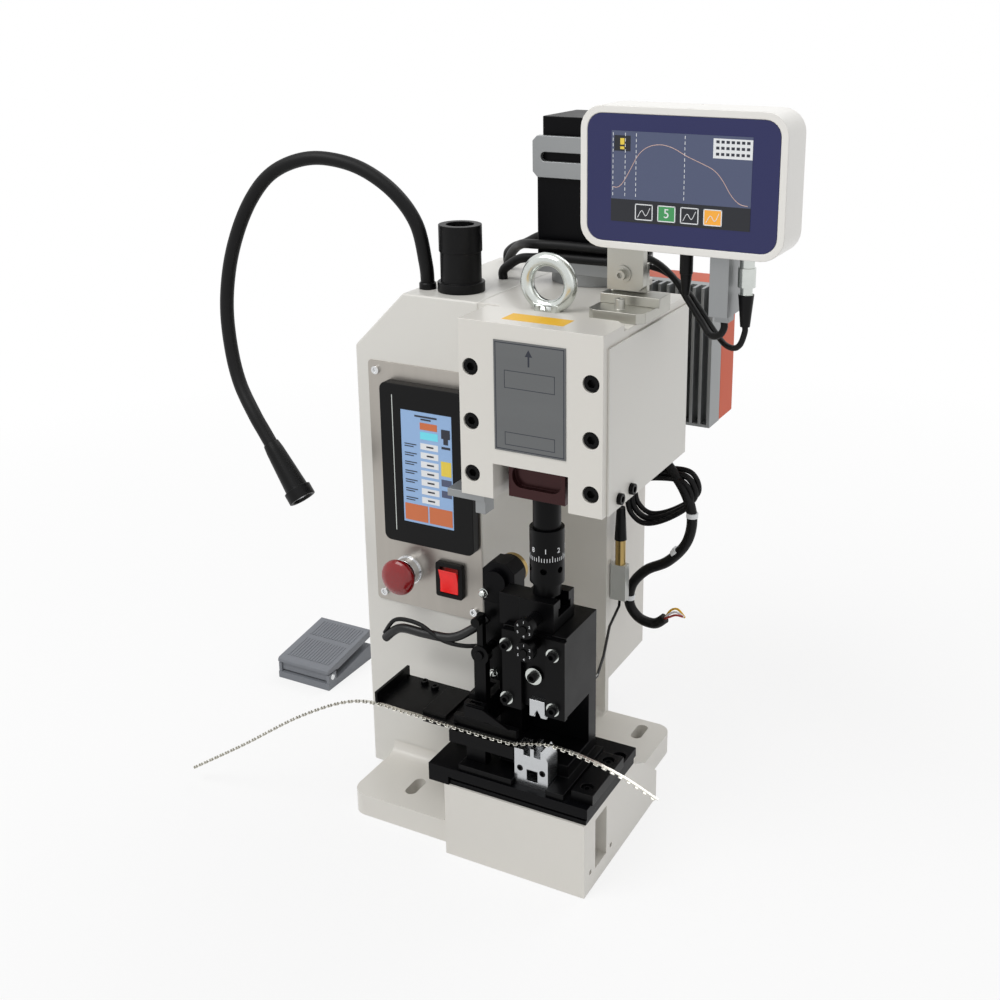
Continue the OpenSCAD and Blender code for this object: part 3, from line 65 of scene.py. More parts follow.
# Modelling helpers
def pick(*objs):
    if bpy.context.object and bpy.context.object.mode != "OBJECT":
        bpy.ops.object.mode_set(mode="OBJECT")
    bpy.ops.object.select_all(action="DESELECT")
    for obj in objs:
        obj.select_set(True)
    bpy.context.view_layer.objects.active = objs[0]
    return objs[0]


def settled(obj):
    pick(obj)
    bpy.ops.object.transform_apply(location=True, rotation=True, scale=True)
    return obj


def applied(obj, kind, **values):
    pick(obj)
    mod = obj.modifiers.new(kind.title(), kind)
    for key, value in values.items():
        setattr(mod, key, value)
    bpy.ops.object.modifier_apply(modifier=mod.name)
    return obj


def eased(obj, width, segments=2, angle=34):
    applied(obj, "BEVEL", width=width, segments=segments, limit_method="ANGLE",
            angle_limit=math.radians(angle), use_clamp_overlap=True)
    bpy.ops.object.shade_smooth_by_angle(angle=math.radians(angle))
    return applied(obj, "WEIGHTED_NORMAL", keep_sharp=True)


def joined(parts):
    pick(*parts)
    if len(parts) > 1:
        bpy.ops.object.join()
    return settled(bpy.context.object)


def copied(obj, move=(0, 0, 0)):
    twin = obj.copy()
    twin.data = obj.data.copy()
    bpy.context.collection.objects.link(twin)
    twin.location = Vector(obj.location) + Vector(move)
    return twin


def block(lo, hi, ease=0.0004, segments=2):
    size = [(b - a) * mm for a, b in zip(lo, hi)]
    bpy.ops.mesh.primitive_cube_add(size=1, location=[(a + b) / 2 * mm for a, b in zip(lo, hi)])
    obj = bpy.context.object
    obj.scale = size
    settled(obj)
    return eased(obj, ease, segments) if ease else obj


def aimedAt(obj, a, b):
    way = (Vector(b) - Vector(a)).normalized()
    obj.rotation_mode = "QUATERNION"
    obj.rotation_quaternion = way.to_track_quat("Z", "Y")
    obj.location = Vector(a) * mm
    return settled(obj)


def turned(profile, a, b, sides=48, angle=34):
    # profile: (radius, height) pairs in mm from a towards b, closed at the axis
    mesh = bpy.data.meshes.new("turned")
    edges = [(i, i + 1) for i in range(len(profile) - 1)]
    mesh.from_pydata([(r * mm, 0, z * mm) for r, z in profile], edges, [])
    obj = bpy.data.objects.new("turned", mesh)
    bpy.context.collection.objects.link(obj)
    pick(obj)
    bpy.ops.object.mode_set(mode="EDIT")
    bpy.ops.mesh.select_all(action="SELECT")
    bpy.ops.mesh.spin(steps=sides, angle=2 * math.pi, center=(0, 0, 0), axis=(0, 0, 1))
    bpy.ops.mesh.select_all(action="SELECT")
    bpy.ops.mesh.remove_doubles(threshold=0.000002)
    bpy.ops.mesh.normals_make_consistent(inside=False)
    bpy.ops.object.mode_set(mode="OBJECT")
    bpy.ops.object.shade_smooth_by_angle(angle=math.radians(angle))
    return aimedAt(obj, a, b)


def wire(points, width, sides=10, name="wire", cyclic=False):
    curve = bpy.data.curves.new(name, "CURVE")
    curve.dimensions = "3D"
    curve.bevel_depth = width / 2 * mm
    curve.bevel_resolution = max(1, sides // 4)
    curve.use_fill_caps = True
    curve.resolution_u = 8
    line = curve.splines.new("NURBS")
    line.points.add(len(points) - 1)
    for point, at in zip(line.points, points):
        point.co = (at[0] * mm, at[1] * mm, at[2] * mm, 1)
    line.order_u = 4
    line.use_endpoint_u = not cyclic
    line.use_cyclic_u = cyclic
    obj = bpy.data.objects.new(name, curve)
    bpy.context.collection.objects.link(obj)
    return obj


def meshed(obj):
    pick(obj)
    bpy.ops.object.convert(target="MESH")
    bpy.ops.object.shade_smooth_by_angle(angle=math.radians(50))
    return bpy.context.object


def through(points, steps=6):
    # Points along a smooth line through the given points
    line = []
    for i in range(len(points) - 1):
        p, q = Vector(points[max(i - 1, 0)]), Vector(points[i])
        r, s = Vector(points[i + 1]), Vector(points[min(i + 2, len(points) - 1)])
        bend = 2 * p - 5 * q + 4 * r - s
        twist = 3 * q - p - 3 * r + s
        for j in range(steps):
            t = j / steps
            line.append(0.5 * (2 * q + (r - p) * t + bend * t * t + twist * t ** 3))
    return line + [Vector(points[-1])]


def cable(points, width, steps=6, sides=10):
    return meshed(wire(through(points, steps), width, sides))


def coated(obj, material):
    obj.data.materials.clear()
    obj.data.materials.append(material)
    return obj


def placed(obj, name, material, node, *others, body=None):
    # A finished piece that stands for its CAD nodes
    obj.name = name
    if material:
        coated(obj, material)
    settled(obj)
    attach(obj, body or bodyOf[node])
    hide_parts(node, *others)
    return obj


def added(obj, name, material, body="frame"):
    # A finished piece that stands for no CAD node
    obj.name = name
    if material:
        coated(obj, material)
    settled(obj)
    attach(obj, body)
    return obj


def softened(node, width, angle=34, segments=2):
    # A copy of a CAD node with merged corners and eased edges
    obj = bpy.data.objects.new(node + "Piece", nodes[node].data.copy())
    bpy.context.collection.objects.link(obj)
    pick(obj)
    bpy.ops.object.mode_set(mode="EDIT")
    bpy.ops.mesh.select_all(action="SELECT")
    bpy.ops.mesh.remove_doubles(threshold=0.000005)
    bpy.ops.mesh.dissolve_limited(angle_limit=math.radians(0.6))
    bpy.ops.object.mode_set(mode="OBJECT")
    if width:
        eased(obj, width, segments, angle)
    else:
        bpy.ops.object.shade_smooth_by_angle(angle=math.radians(angle))
    return obj


# Materials
def linear(colour):
    # Screen values from 0 to 255 as linear shares
    shares = [value / 255 for value in colour]
    return tuple(c / 12.92 if c <= 0.04045 else ((c + 0.055) / 1.055) ** 2.4 for c in shares) + (1,)


def finish(name, colour, rough, metal=0.0, grain=900, depth=0.04, drift=0.06, patch=9, stretch=(1, 1, 1),
           roughDrift=0.08, coat=0.0, wear=None, level=0.5, glow=0.0):
    # Base colour with slow drift, fine grain as bump and uneven roughness
    material = bpy.data.materials.new(name)
    material.use_nodes = True
    tree = material.node_tree
    shader = tree.nodes["Principled BSDF"]
    make = tree.nodes.new
    link = tree.links.new
    place = make("ShaderNodeTexCoord")
    mapping = make("ShaderNodeMapping")
    mapping.inputs["Scale"].default_value = stretch
    link(place.outputs["Object"], mapping.inputs["Vector"])
    slow = make("ShaderNodeTexNoise")
    slow.inputs["Scale"].default_value = patch
    slow.inputs["Detail"].default_value = 5
    link(mapping.outputs["Vector"], slow.inputs["Vector"])
    tone = make("ShaderNodeMix")
    tone.data_type = "RGBA"
    base = linear(colour)
    tone.inputs[6].default_value = tuple(c * (1 - drift) for c in base[:3]) + (1,)
    tone.inputs[7].default_value = tuple(min(1, c * (1 + drift)) for c in base[:3]) + (1,)
    link(slow.outputs["Fac"], tone.inputs["Factor"])
    colourOut = tone.outputs[2]
    fine = make("ShaderNodeTexNoise")
    fine.inputs["Scale"].default_value = grain
    fine.inputs["Detail"].default_value = 3
    link(mapping.outputs["Vector"], fine.inputs["Vector"])
    if wear:
        spots = make("ShaderNodeTexNoise")
        spots.inputs["Scale"].default_value = wear["scale"]
        spots.inputs["Detail"].default_value = 8
        spots.inputs["Roughness"].default_value = 0.7
        link(place.outputs["Object"], spots.inputs["Vector"])
        edge = make("ShaderNodeMapRange")
        edge.inputs["From Min"].default_value = wear["low"]
        edge.inputs["From Max"].default_value = wear["high"]
        link(spots.outputs["Fac"], edge.inputs["Value"])
        over = make("ShaderNodeMix")
        over.data_type = "RGBA"
        over.inputs[7].default_value = linear(wear["colour"])
        link(edge.outputs["Result"], over.inputs["Factor"])
        link(colourOut, over.inputs[6])
        colourOut = over.outputs[2]
    link(colourOut, shader.inputs["Base Color"])
    shader.inputs["Metallic"].default_value = metal
    shader.inputs["Specular IOR Level"].default_value = level
    spread = make("ShaderNodeMapRange")
    spread.inputs["To Min"].default_value = max(0.02, rough - roughDrift)
    spread.inputs["To Max"].default_value = min(1, rough + roughDrift)
    link(fine.outputs["Fac"] if stretch != (1, 1, 1) else slow.outputs["Fac"], spread.inputs["Value"])
    link(spread.outputs["Result"], shader.inputs["Roughness"])
    if coat:
        shader.inputs["Coat Weight"].default_value = coat
        shader.inputs["Coat Roughness"].default_value = 0.12
    if glow:
        link(colourOut, shader.inputs["Emission Color"])
        shader.inputs["Emission Strength"].default_value = glow
    bump = make("ShaderNodeBump")
    bump.inputs["Strength"].default_value = min(1, depth * 4)
    bump.inputs["Distance"].default_value = depth * mm
    link(fine.outputs["Fac"], bump.inputs["Height"])
    link(bump.outputs["Normal"], shader.inputs["Normal"])
    return material


castPaint = finish("castPaint", (224, 221, 214), 0.34, grain=420, depth=0.05, drift=0.025, patch=6, coat=0.25,
                   wear=dict(scale=55, low=0.70, high=0.80, colour=(196, 192, 182)))
sheetPaint = finish("sheetPaint", (225, 223, 217), 0.4, grain=900, depth=0.03, drift=0.02, patch=5, coat=0.15)
blackOxide = finish("blackOxide", (5, 5, 6), 0.34, level=0.12, grain=1300, depth=0.02, drift=0.2, patch=40,
                    wear=dict(scale=160, low=0.66, high=0.78, colour=(26, 26, 29)))
blackAnodised = finish("blackAnodised", (4, 4, 6), 0.38, level=0.1, grain=1800, depth=0.015, drift=0.15, patch=30)
blackPlastic = finish("blackPlastic", (7, 7, 8), 0.4, level=0.18, grain=1500, depth=0.03, drift=0.12, patch=20)
rubberBlack = finish("rubberBlack", (8, 8, 9), 0.5, level=0.22, grain=800, depth=0.05, drift=0.15, patch=30)
groundSteel = finish("groundSteel", (196, 198, 200), 0.26, metal=1.0, grain=700, depth=0.01, stretch=(1, 1, 14),
                     drift=0.08)
braidBlack = finish("braidBlack", (12, 12, 13), 0.4, level=0.4, grain=520, depth=0.25, drift=0.3, patch=260)
brushedPanel = finish("brushedPanel", (176, 171, 164), 0.34, metal=0.9, grain=420, depth=0.008, stretch=(10, 1, 0.35),
                      drift=0.06, patch=14)
zincPlate = finish("zincPlate", (206, 210, 206), 0.22, metal=1.0, grain=260, depth=0.05, drift=0.12, patch=90)
satinAlu = finish("satinAlu", (180, 179, 172), 0.36, metal=0.9, grain=900, depth=0.012, stretch=(1, 10, 1), drift=0.06)
castAlu = finish("castAlu", (150, 152, 153), 0.42, metal=0.75, grain=500, depth=0.05, drift=0.08)
maroonSteel = finish("maroonSteel", (56, 25, 26), 0.3, metal=0.6, grain=900, depth=0.015, drift=0.2, patch=30)
redPlastic = finish("redPlastic", (140, 4, 12), 0.22, grain=600, depth=0.008, drift=0.05, coat=0.3)
litRed = finish("litRed", (224, 12, 12), 0.2, grain=500, depth=0.01, drift=0.2, patch=60, glow=0.3)
orangePaint = finish("orangePaint", (214, 82, 34), 0.5, grain=1200, depth=0.03, drift=0.04)
whitePlastic = finish("whitePlastic", (238, 236, 231), 0.3, grain=1400, depth=0.01, drift=0.015, coat=0.2)
blueFilm = finish("blueFilm", (24, 29, 84), 0.35, grain=900, depth=0.006, drift=0.04)
chromePlate = finish("chromePlate", (214, 215, 216), 0.12, metal=1.0, grain=400, depth=0.004, drift=0.04)
brassTone = finish("brassTone", (176, 150, 96), 0.3, metal=0.95, grain=700, depth=0.01, drift=0.1)
tinPlate = finish("tinPlate", (208, 206, 198), 0.25, metal=1.0, grain=700, depth=0.01, drift=0.1)
pedalPlastic = finish("pedalPlastic", (122, 125, 131), 0.58, grain=1100, depth=0.07, drift=0.05)
yellowFilm = finish("yellowFilm", (240, 186, 24), 0.4, grain=900, depth=0.008, drift=0.04)
clearSleeve = finish("clearSleeve", (188, 190, 186), 0.3, grain=500, depth=0.02, drift=0.08, coat=0.4)
screenBlue = finish("screenBlue", (136, 166, 204), 0.3, grain=900, depth=0.002, drift=0.02, glow=0.25)
screenDark = finish("screenDark", (14, 18, 28), 0.3, grain=900, depth=0.002, drift=0.02)
screenSlate = finish("screenSlate", (74, 82, 110), 0.3, grain=900, depth=0.002, drift=0.03, glow=0.1)
# The pale marks glow a little. On the screens that is the screens' own light. On the dial ticks and numbers, the disc
# numbers, the harness ties and a core wire, which are no lamps, the glow is painted brightness.
paleGlowMark = finish("paleGlowMark", (226, 228, 230), 0.4, grain=900, depth=0.002, drift=0.02, glow=0.1)
markDark = finish("markDark", (30, 34, 48), 0.4, grain=900, depth=0.002, drift=0.02)
markOrange = finish("markOrange", (196, 106, 62), 0.4, grain=900, depth=0.002, drift=0.03, glow=0.15)
markAmber = finish("markAmber", (240, 168, 60), 0.4, grain=900, depth=0.002, drift=0.03, glow=0.15)
markGreen = finish("markGreen", (62, 142, 84), 0.4, grain=900, depth=0.002, drift=0.03, glow=0.15)
markCyan = finish("markCyan", (112, 214, 232), 0.4, grain=900, depth=0.002, drift=0.03, glow=0.15)
markYellow = finish("markYellow", (222, 196, 72), 0.4, grain=900, depth=0.002, drift=0.03, glow=0.15)
plateGrey = finish("plateGrey", (104, 106, 107), 0.42, metal=0.3, grain=900, depth=0.006, stretch=(1, 1, 8),
                   drift=0.05)
clearLens = finish("clearLens", (206, 210, 214), 0.12, grain=400, depth=0.002, drift=0.03, coat=0.6)
curvePink = finish("curvePink", (202, 170, 160), 0.4, grain=900, depth=0.002, drift=0.02, glow=0.1)
copperWire = finish("copperWire", (176, 60, 52), 0.45, grain=900, depth=0.01, drift=0.06)
print("stage: materials")


# Pedal cord: short lead, stored loops behind the machine, lead into the cabinet's gland
cordRoute = dict(
    width=6.0, centre=(-190.0, 330.0), radius=81.0, step=6.8, turns=2.5, rings=24,
    lead=[(-379, 210.3, 9), (-379, 216, 9), (-379, 228, 6), (-371, 246, 3.6), (-346, 262, 3.4), (-312, 268, 3.4),
          (-286, 280, 3.4), (-273, 302, 3.2), (-271, 318, 3)],
    onLoops=(-271, 324, 3), offLoops=(-109, 324, 20),
    inlet=[(-109, 318, 20), (-109, 300, 21.5), (-109, 276, 27), (-109, 250, 35), (-109, 236, 39), (-109, 226.3, 40),
           (-109, 220.3, 40)])


def windings(spec):
    # Rising turns that start at the left, clockwise seen from above
    line = []
    cx, cy = spec["centre"]
    last = int(spec["rings"] * spec["turns"])
    for k in range(last + 1):
        a = math.pi - 2 * math.pi * k / spec["rings"]
        line.append((cx + spec["radius"] * math.cos(a), cy + spec["radius"] * math.sin(a),
                     spec["width"] / 2 + spec["step"] * k / spec["rings"]))
    return line


cordLine = through(cordRoute["lead"] + [cordRoute["onLoops"]], 3)
cordLine += [Vector(p) for p in windings(cordRoute)]
cordLine += through([cordRoute["offLoops"]] + cordRoute["inlet"], 3)
pedalCord = wire(cordLine, cordRoute["width"], 16, "pedalCord")
pedalCord.data.resolution_u = 4
coated(pedalCord, rubberBlack)
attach(pedalCord, "frame")
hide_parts("pedal_cord", "pedal_coil")


# Carried-over shapes with eased edges
castParts = dict(base_casting=0.0022, column=0.001, rear_box=0.0008, head_frame=0.0008, head_cap=0.0016,
                 deck_plate=0.0008)
for node, width in castParts.items():
    placed(softened(node, width, segments=3), node + "Cast", castPaint, node)
for node, width in dict(side_panel=0.0005, cabinet_shell=0.0022).items():
    placed(softened(node, width, segments=3), node + "Sheet", sheetPaint, node)
plainParts = {
    "frame_screws": (0.0003, blackOxide), "leg_bracket": (0.0004, castAlu), "bolster_lower": (0.0005, blackAnodised),
    "bolster_upper": (0.0006, blackAnodised), "bolster_clamps": (0.0008, blackOxide), "ram_block": (0.001, maroonSteel),
    "control_panel": (0.0002, brushedPanel), "hmi_bezel": (0.0012, blackPlastic), "estop_collar": (0.0004, chromePlate),
    "estop_cap": (0.0006, redPlastic), "rocker_bezel": (0.0005, blackPlastic), "rocker_key": (0.0005, litRed),
    "reel_socket": (0.0008, blackPlastic), "motor_body": (0.0008, blackAnodised), "motor_adaptor": (0.0008, castAlu),
    "motor_strap": (0.0006, castAlu), "drive_body": (0.0003, castAlu), "drive_cover": (0.0012, orangePaint),
    "monitor_base": (0.0006, satinAlu), "monitor_foot": (0.0006, satinAlu), "monitor_arm": (0.0006, satinAlu),
    "monitor_shell": (0.0045, whitePlastic), "monitor_connectors": (0.0004, blackPlastic),
    "sensor_lead": (0.0002, blackPlastic), "app_base": (0.0006, blackOxide), "app_frame": (0.0006, blackOxide),
    "app_strips": (0.0004, blackOxide), "app_ram": (0.0005, blackOxide), "disc_upper": (0.0006, blackOxide),
    "disc_lower": (0.0006, blackOxide), "punches": (0.0002, groundSteel), "anvil_block": (0.0004, groundSteel),
    "feed_track": (0.0004, blackOxide),
    "feed_lever": (0.0004, blackOxide), "feed_slide": (0.0003, blackOxide), "feed_cylinder": (0.0006, blackAnodised),
    "pedal_base": (0.0012, pedalPlastic), "pedal_treadle": (0.0015, pedalPlastic), "spindle": (0.0003, blackOxide),
    "dial": (0.0005, blackOxide), "eye_bolt": (0, zincPlate), "lamp_head": (0.0005, blackPlastic),
    "hmi_glass": (0, screenBlue), "monitor_face": (0, blueFilm), "cord_glands": (0.0003, blackPlastic)}
for node, (width, material) in plainParts.items():
    placed(softened(node, width), node + "Piece", material, node)


def recoated(name, material, test):
    # Gives the faces that pass the test another material; the test reads mm
    mesh = bpy.data.objects[name].data
    mesh.materials.append(material)
    index = len(mesh.materials) - 1
    for face in mesh.polygons:
        if test(face.center / mm):
            face.material_index = index


# Where the second material starts or ends on a piece
coatEdge = dict(coverScrews=-79, boot=157.9, nut=198, nutTop=226, hood=139, coax=158, coaxBody=540.5, airPort=3.95)
recoated("frame_screwsPiece", chromePlate, lambda p: p.x < coatEdge["coverScrews"])
recoated("sensor_leadPiece", brassTone, lambda p: coatEdge["nut"] < p.z < coatEdge["nutTop"])
recoated("sensor_leadPiece", clearSleeve, lambda p: coatEdge["boot"] < p.z <= coatEdge["nut"])
recoated("monitor_connectorsPiece", castAlu, lambda p: coatEdge["hood"] < p.x < coatEdge["coax"])
recoated("monitor_connectorsPiece", zincPlate, lambda p: p.x >= coatEdge["coax"] and p.z > coatEdge["coaxBody"])
recoated("feed_cylinderPiece", brassTone, lambda p: p.y > coatEdge["airPort"])
print("stage: carried shapes")


# Cables, each a smooth tube along the route of its CAD solid
deckTop = 508.8
goose = dict(width=13.0, foot=(-149, 45), ring=[(0, 0), (8, 0), (8, 5.2), (7.2, 6.2), (0, 6.2)], line=[
    (-149, 45, 509), (-149, 45, 515), (-148, 41, 533.8), (-153, 35, 570.8), (-173, 29, 599.8), (-205, 24, 619.8),
    (-240, 18, 627.3), (-268, 12, 623.8), (-294, 7, 610.8), (-313, 2, 588.8), (-327, -4, 558.8), (-337, -9, 522.8),
    (-340, -14, 482.8), (-334, -19, 443.8), (-321, -25, 411.8), (-299.7, -32.2, 385.6), (-287.3, -34.5, 370.8),
    (-279.2, -36, 361.2)])
placed(cable(goose["line"], goose["width"], 8, 24), "gooseneckArm", rubberBlack, "gooseneck")
neckRing = turned(goose["ring"], (*goose["foot"], deckTop), (*goose["foot"], deckTop + goose["ring"][-1][1]))
added(neckRing, "neckRing", blackPlastic)

# The monitor tilts about this line, where its own leads end and the leads over the deck start
pivot = dict(x=52.5, z=543.3, leadsEnd=83.0, deckStart=84.4)
monitorLeads = dict(
    coax=(5.0, [(167, 24, 513.2), (167, 24, 508.8), (163, 26, 497.8), (156, 31, 492.3), (146, 37, 492.8),
                (135, 44, 499.8), (121, 51, 512.8), (106, 58, 526.8), (90, 65, 536.8), (74, 72, 541.8),
                (62, 75, 543.3), (pivot["x"], 79, pivot["z"]), (pivot["x"], pivot["leadsEnd"], pivot["z"])]),
    hood=(6.0, [(149, 24, 516.2), (149, 24.5, 509.8), (144, 28, 502.8), (134, 35, 499.8), (123, 43, 507.8),
                (108, 50, 522.8), (94, 57, 536.8), (78, 64, 546.8), (64, 70, 551.3),
                (pivot["x"], 77, pivot["z"] + 8.5), (pivot["x"], pivot["leadsEnd"], pivot["z"] + 8.5)]))
leads = [cable(line, width, 5, 16) for width, line in monitorLeads.values()]
placed(joined(leads), "monitorLeads", rubberBlack, "monitor_cables")

deckLeads = dict(width=9.0, starts=[0.0, 10.0], lines=[
    [(46, 97, 541.8), (28, 102, 538.8), (-4, 102, 537.8), (-40, 102, 537.3), (-66, 102, 534.8), (-84, 106, 531.8),
     (-98, 110, 523.8), (-106, 112, 516.8), (-106, 112, 509.1)],
    [(46, 98, 550.8), (28, 102, 549.3), (-4, 102, 548.8), (-40, 102, 548.8), (-66, 102, 547.8), (-84, 113, 544.8),
     (-100, 130, 537.8), (-114, 144, 527.8), (-122, 152, 518.8), (-124, 154, 514.8), (-124, 154, 509.1)]],
    motor=[(-69.3, 160, 547.8), (-80, 160, 547.8), (-96, 164, 541.8), (-114, 172, 532.8), (-132, 182, 525.8),
           (-142, 188, 518.8), (-144, 189, 514.8), (-144, 189, 509.1)])
tubes = []
for rise, line in zip(deckLeads["starts"], deckLeads["lines"]):
    start = [(pivot["x"], y, pivot["z"] + rise) for y in (pivot["deckStart"], 91)]
    tubes.append(cable(start + line, deckLeads["width"], 5, 16))
tubes.append(cable(deckLeads["motor"], deckLeads["width"], 5, 16))
placed(joined(tubes), "deckLeads", rubberBlack, "deck_cables")

harness = dict(width=11.0, tail=[
    (-22.3, 214, 330), (-10.6, 214, 330), (2, 213, 327), (26, 208, 312), (50, 202, 288), (61, 200, 260), (56, 200, 230),
    (36, 200, 205), (12, 200, 190), (-4, 200, 170), (-7, 200, 148), (4, 200, 133), (22, 200, 130), (34, 200, 139)],
    loop=[(-10, 276), (3, 292), (25, 299), (53, 299), (61, 278), (36, 256), (10, 246), (-6, 256)],
    loopY=206, loops=((0, 6.5), (5, 5.5), (-5, 5.5)), coreWidth=2.4)
placed(cable(harness["tail"], harness["width"], 6, 16), "harnessTail", rubberBlack, "side_harness")
coils = []
for shift, width in harness["loops"]:
    ring = [(x + shift * 0.4, harness["loopY"] + shift, z + shift * 0.8) for x, z in harness["loop"]]
    coils.append(cable(ring + ring[:1], width, 6, 12))
added(joined(coils), "harnessLoops", rubberBlack)
for index, material in enumerate((copperWire, paleGlowMark, yellowFilm)):
    k = index - 1
    core = cable([(34, 200 + k, 139), (40, 199 + 2 * k, 146 + 3 * k), (48, 198 + 3 * k, 150 + 2 * k),
                  (56, 198 + 3 * k, 146 - 2 * k)], harness["coreWidth"], 5, 8)
    added(core, f"coreWire{index}", material)
print("stage: cables")


# Terminal strip: a carrier with a terminal at each pitch
strip = dict(pitch=8.0, edge=0.9, line=[
    (-362, -90, 14), (-298, -84, 56), (-228, -76, 104), (-170, -68, 130.5), (-114, -64.5, 131), (-72, -63.5, 129.1),
    (-12, -63.5, 129.1), (2, -63.5, 131.5), (15, -63.5, 135), (34, -63, 138), (67, -63, 135), (102, -62, 126),
    (133, -62, 114)])


def stripPiece():
    path = through(strip["line"], 12)
    parts = []
    gone, due = 0.0, strip["pitch"] / 2
    for a, b in zip(path, path[1:]):
        way = b - a
        tilt = -math.atan2(way.z, way.x)
        while due < gone + way.length:
            place = a + way * ((due - gone) / way.length)
            due += strip["pitch"]
            turn = Matrix.Translation(place * mm) @ Matrix.Rotation(tilt, 4, "Y")
            for part in stripParts:
                piece = copied(part)
                piece.matrix_world = turn
                parts.append(piece)
        gone += way.length
    return joined(parts)


half = strip["pitch"] / 2
carrier = block((-half - 0.2, 1.2, -1.0), (half + 0.2, 3.6, -0.4), 0)
neck = block((-1.0, -0.4, -1.0), (1.0, 1.4, -0.4), 0)
leftWing = block((-2.2, -2.1, -1.0), (-1.5, 0, 1.8), 0.0001, 1)
rightWing = block((1.5, -2.1, -1.0), (2.2, 0, 1.8), 0.0001, 1)
crimp = block((-2.0, -2.1, -1.0), (2.0, 0, -0.4), 0.0001, 1)
stripParts = [carrier, neck, leftWing, rightWing, crimp]
placed(stripPiece(), "terminalStrip", tinPlate, "terminal_strip")
for part in stripParts:
    bpy.data.objects.remove(part)
band = cable([(x, y + 0.6, z - 0.5) for x, y, z in strip["line"]], strip["edge"], 6, 6)
added(band, "stripBand", tinPlate)
print("stage: strip")


# Marks on a face that looks at the operator
def marks(name, material, rects, y, thick=0.12, body="frame", ease=0):
    parts = [block((x0, y - thick, min(z0, z1)), (x1, y, max(z0, z1)), ease) for x0, z0, x1, z1 in rects]
    return added(joined(parts), name, material, body)


def inBox(box, rects):
    # Shares of a box, from its top left corner, as rectangles
    x0, z0, x1, z1 = box
    return [(x0 + (x1 - x0) * a, z1 - (z1 - z0) * b, x0 + (x1 - x0) * c, z1 - (z1 - z0) * d) for a, b, c, d in rects]


def outline(box, width):
    # The four sides of a frame, for a box of either order in z
    x0, z0, x1, z1 = box[0], min(box[1], box[3]), box[2], max(box[1], box[3])
    return [(x0, z0, x1, z0 + width), (x0, z1 - width, x1, z1), (x0, z0, x0 + width, z1), (x1 - width, z0, x1, z1)]


touch = dict(box=(-158.0, 289.0, -103.0, 401.0), y=5.35, rows=[0.27 + 0.08 * k for k in range(7)])


def touchMarks(name, material, rects, lift=0.0):
    marks(name, material, inBox(touch["box"], rects), touch["y"] - lift)


dashes = [(0.06, v + 0.02 + 0.02 * k, 0.30 - 0.06 * k, v + 0.028 + 0.02 * k) for v in touch["rows"] for k in (0, 1)]
heading = [(0.28, 0.03, 0.72, 0.045), (0.40, 0.055, 0.60, 0.068)]
units = [(0.5, v + 0.02, 0.64, v + 0.034) for v in touch["rows"]]
figure = [(0.80, 0.12, 0.97, 0.20), (0.84, 0.20, 0.93, 0.25), (0.80, 0.27, 0.97, 0.29)]
touchMarks("touchFields", paleGlowMark, [(0.38, v, 0.73, v + 0.055) for v in touch["rows"]])
touchMarks("touchDashes", markDark, dashes + heading + units + figure, 0.13)
touchMarks("touchOrange", markOrange, [(0.38, 0.09, 0.72, 0.15), (0.03, 0.83, 0.49, 0.98), (0.52, 0.83, 0.98, 0.98)],
           0.05)
touchMarks("touchCyan", markCyan, [(0.38, 0.17, 0.73, 0.235)])
touchMarks("touchYellow", markYellow, [(0.78, 0.40, 0.98, 0.53)])
touchMarks("touchKeys", screenSlate, [(0.78, 0.56, 0.98, 0.62), (0.78, 0.66, 0.98, 0.72)])
marks("bezelLine", zincPlate, [(-167.4, 278.0, -166.6, 414.0)], 5.1, 0.15)

force = dict(box=(57.6, 595.7, 175.5, 668.2), y=0.42, line=0.6, frame=0.8, curve=[
    (0.01, 0.62), (0.05, 0.62), (0.09, 0.56), (0.14, 0.42), (0.2, 0.25), (0.27, 0.16), (0.36, 0.13), (0.45, 0.16),
    (0.55, 0.24), (0.66, 0.31), (0.74, 0.37), (0.8, 0.47), (0.86, 0.62), (0.92, 0.71), (0.98, 0.73)])


def forceMarks(name, material, rects, lift=0.0):
    marks(name, material, inBox(force["box"], rects), force["y"] - lift, body="monitor")


forceMarks("forceField", screenSlate, [(0, 0, 1, 0.75)])
forceMarks("forceBar", screenDark, [(0, 0.75, 1, 1), (0.02, 0.05, 0.14, 0.22)], 0.1)
limits = [(u, v, u + 0.004, v + 0.035) for u in (0.01, 0.10, 0.18, 0.53) for v in [0.02 + 0.06 * k for k in range(12)]]
forceMarks("forceDashes", paleGlowMark, limits + [(0.73, 0.03, 1.0, 0.24)], 0.12)
counts = [(0.75 + 0.035 * k, v, 0.772 + 0.035 * k, v + 0.03) for k in range(7) for v in (0.05, 0.115, 0.18)]
forceMarks("forceCount", markDark, counts, 0.25)
icons = [(0.18 + 0.165 * k, 0.79, 0.31 + 0.165 * k, 0.97) for k in range(4)]
iconSides = [side for box in inBox(force["box"], icons) for side in outline(box, force["frame"])]
marks("iconFrames", paleGlowMark, iconSides, force["y"] - 0.2, body="monitor")
forceMarks("iconGreen", markGreen, icons[1:2], 0.12)
forceMarks("iconAmber", markAmber, icons[3:4], 0.12)
forceMarks("helpMark", markYellow, [(0.065, 0.08, 0.095, 0.15), (0.065, 0.17, 0.095, 0.20)], 0.25)


def traced(pairs, lift):
    x0, z0, x1, z1 = force["box"]
    route = [(x0 + (x1 - x0) * u, force["y"] - lift, z1 - (z1 - z0) * v) for u, v in pairs]
    return cable(route, force["line"], 4, 6)


added(traced(force["curve"], 0.05), "forceCurve", curvePink, "monitor")
for k in (0, 2, 3):
    first = icons[k][0]
    wave = [(first + 0.02, 0.94), (first + 0.05, 0.86), (first + 0.08, 0.92), (first + 0.11, 0.83)]
    added(traced(wave, 0.25), f"iconCurve{k}", paleGlowMark, "monitor")


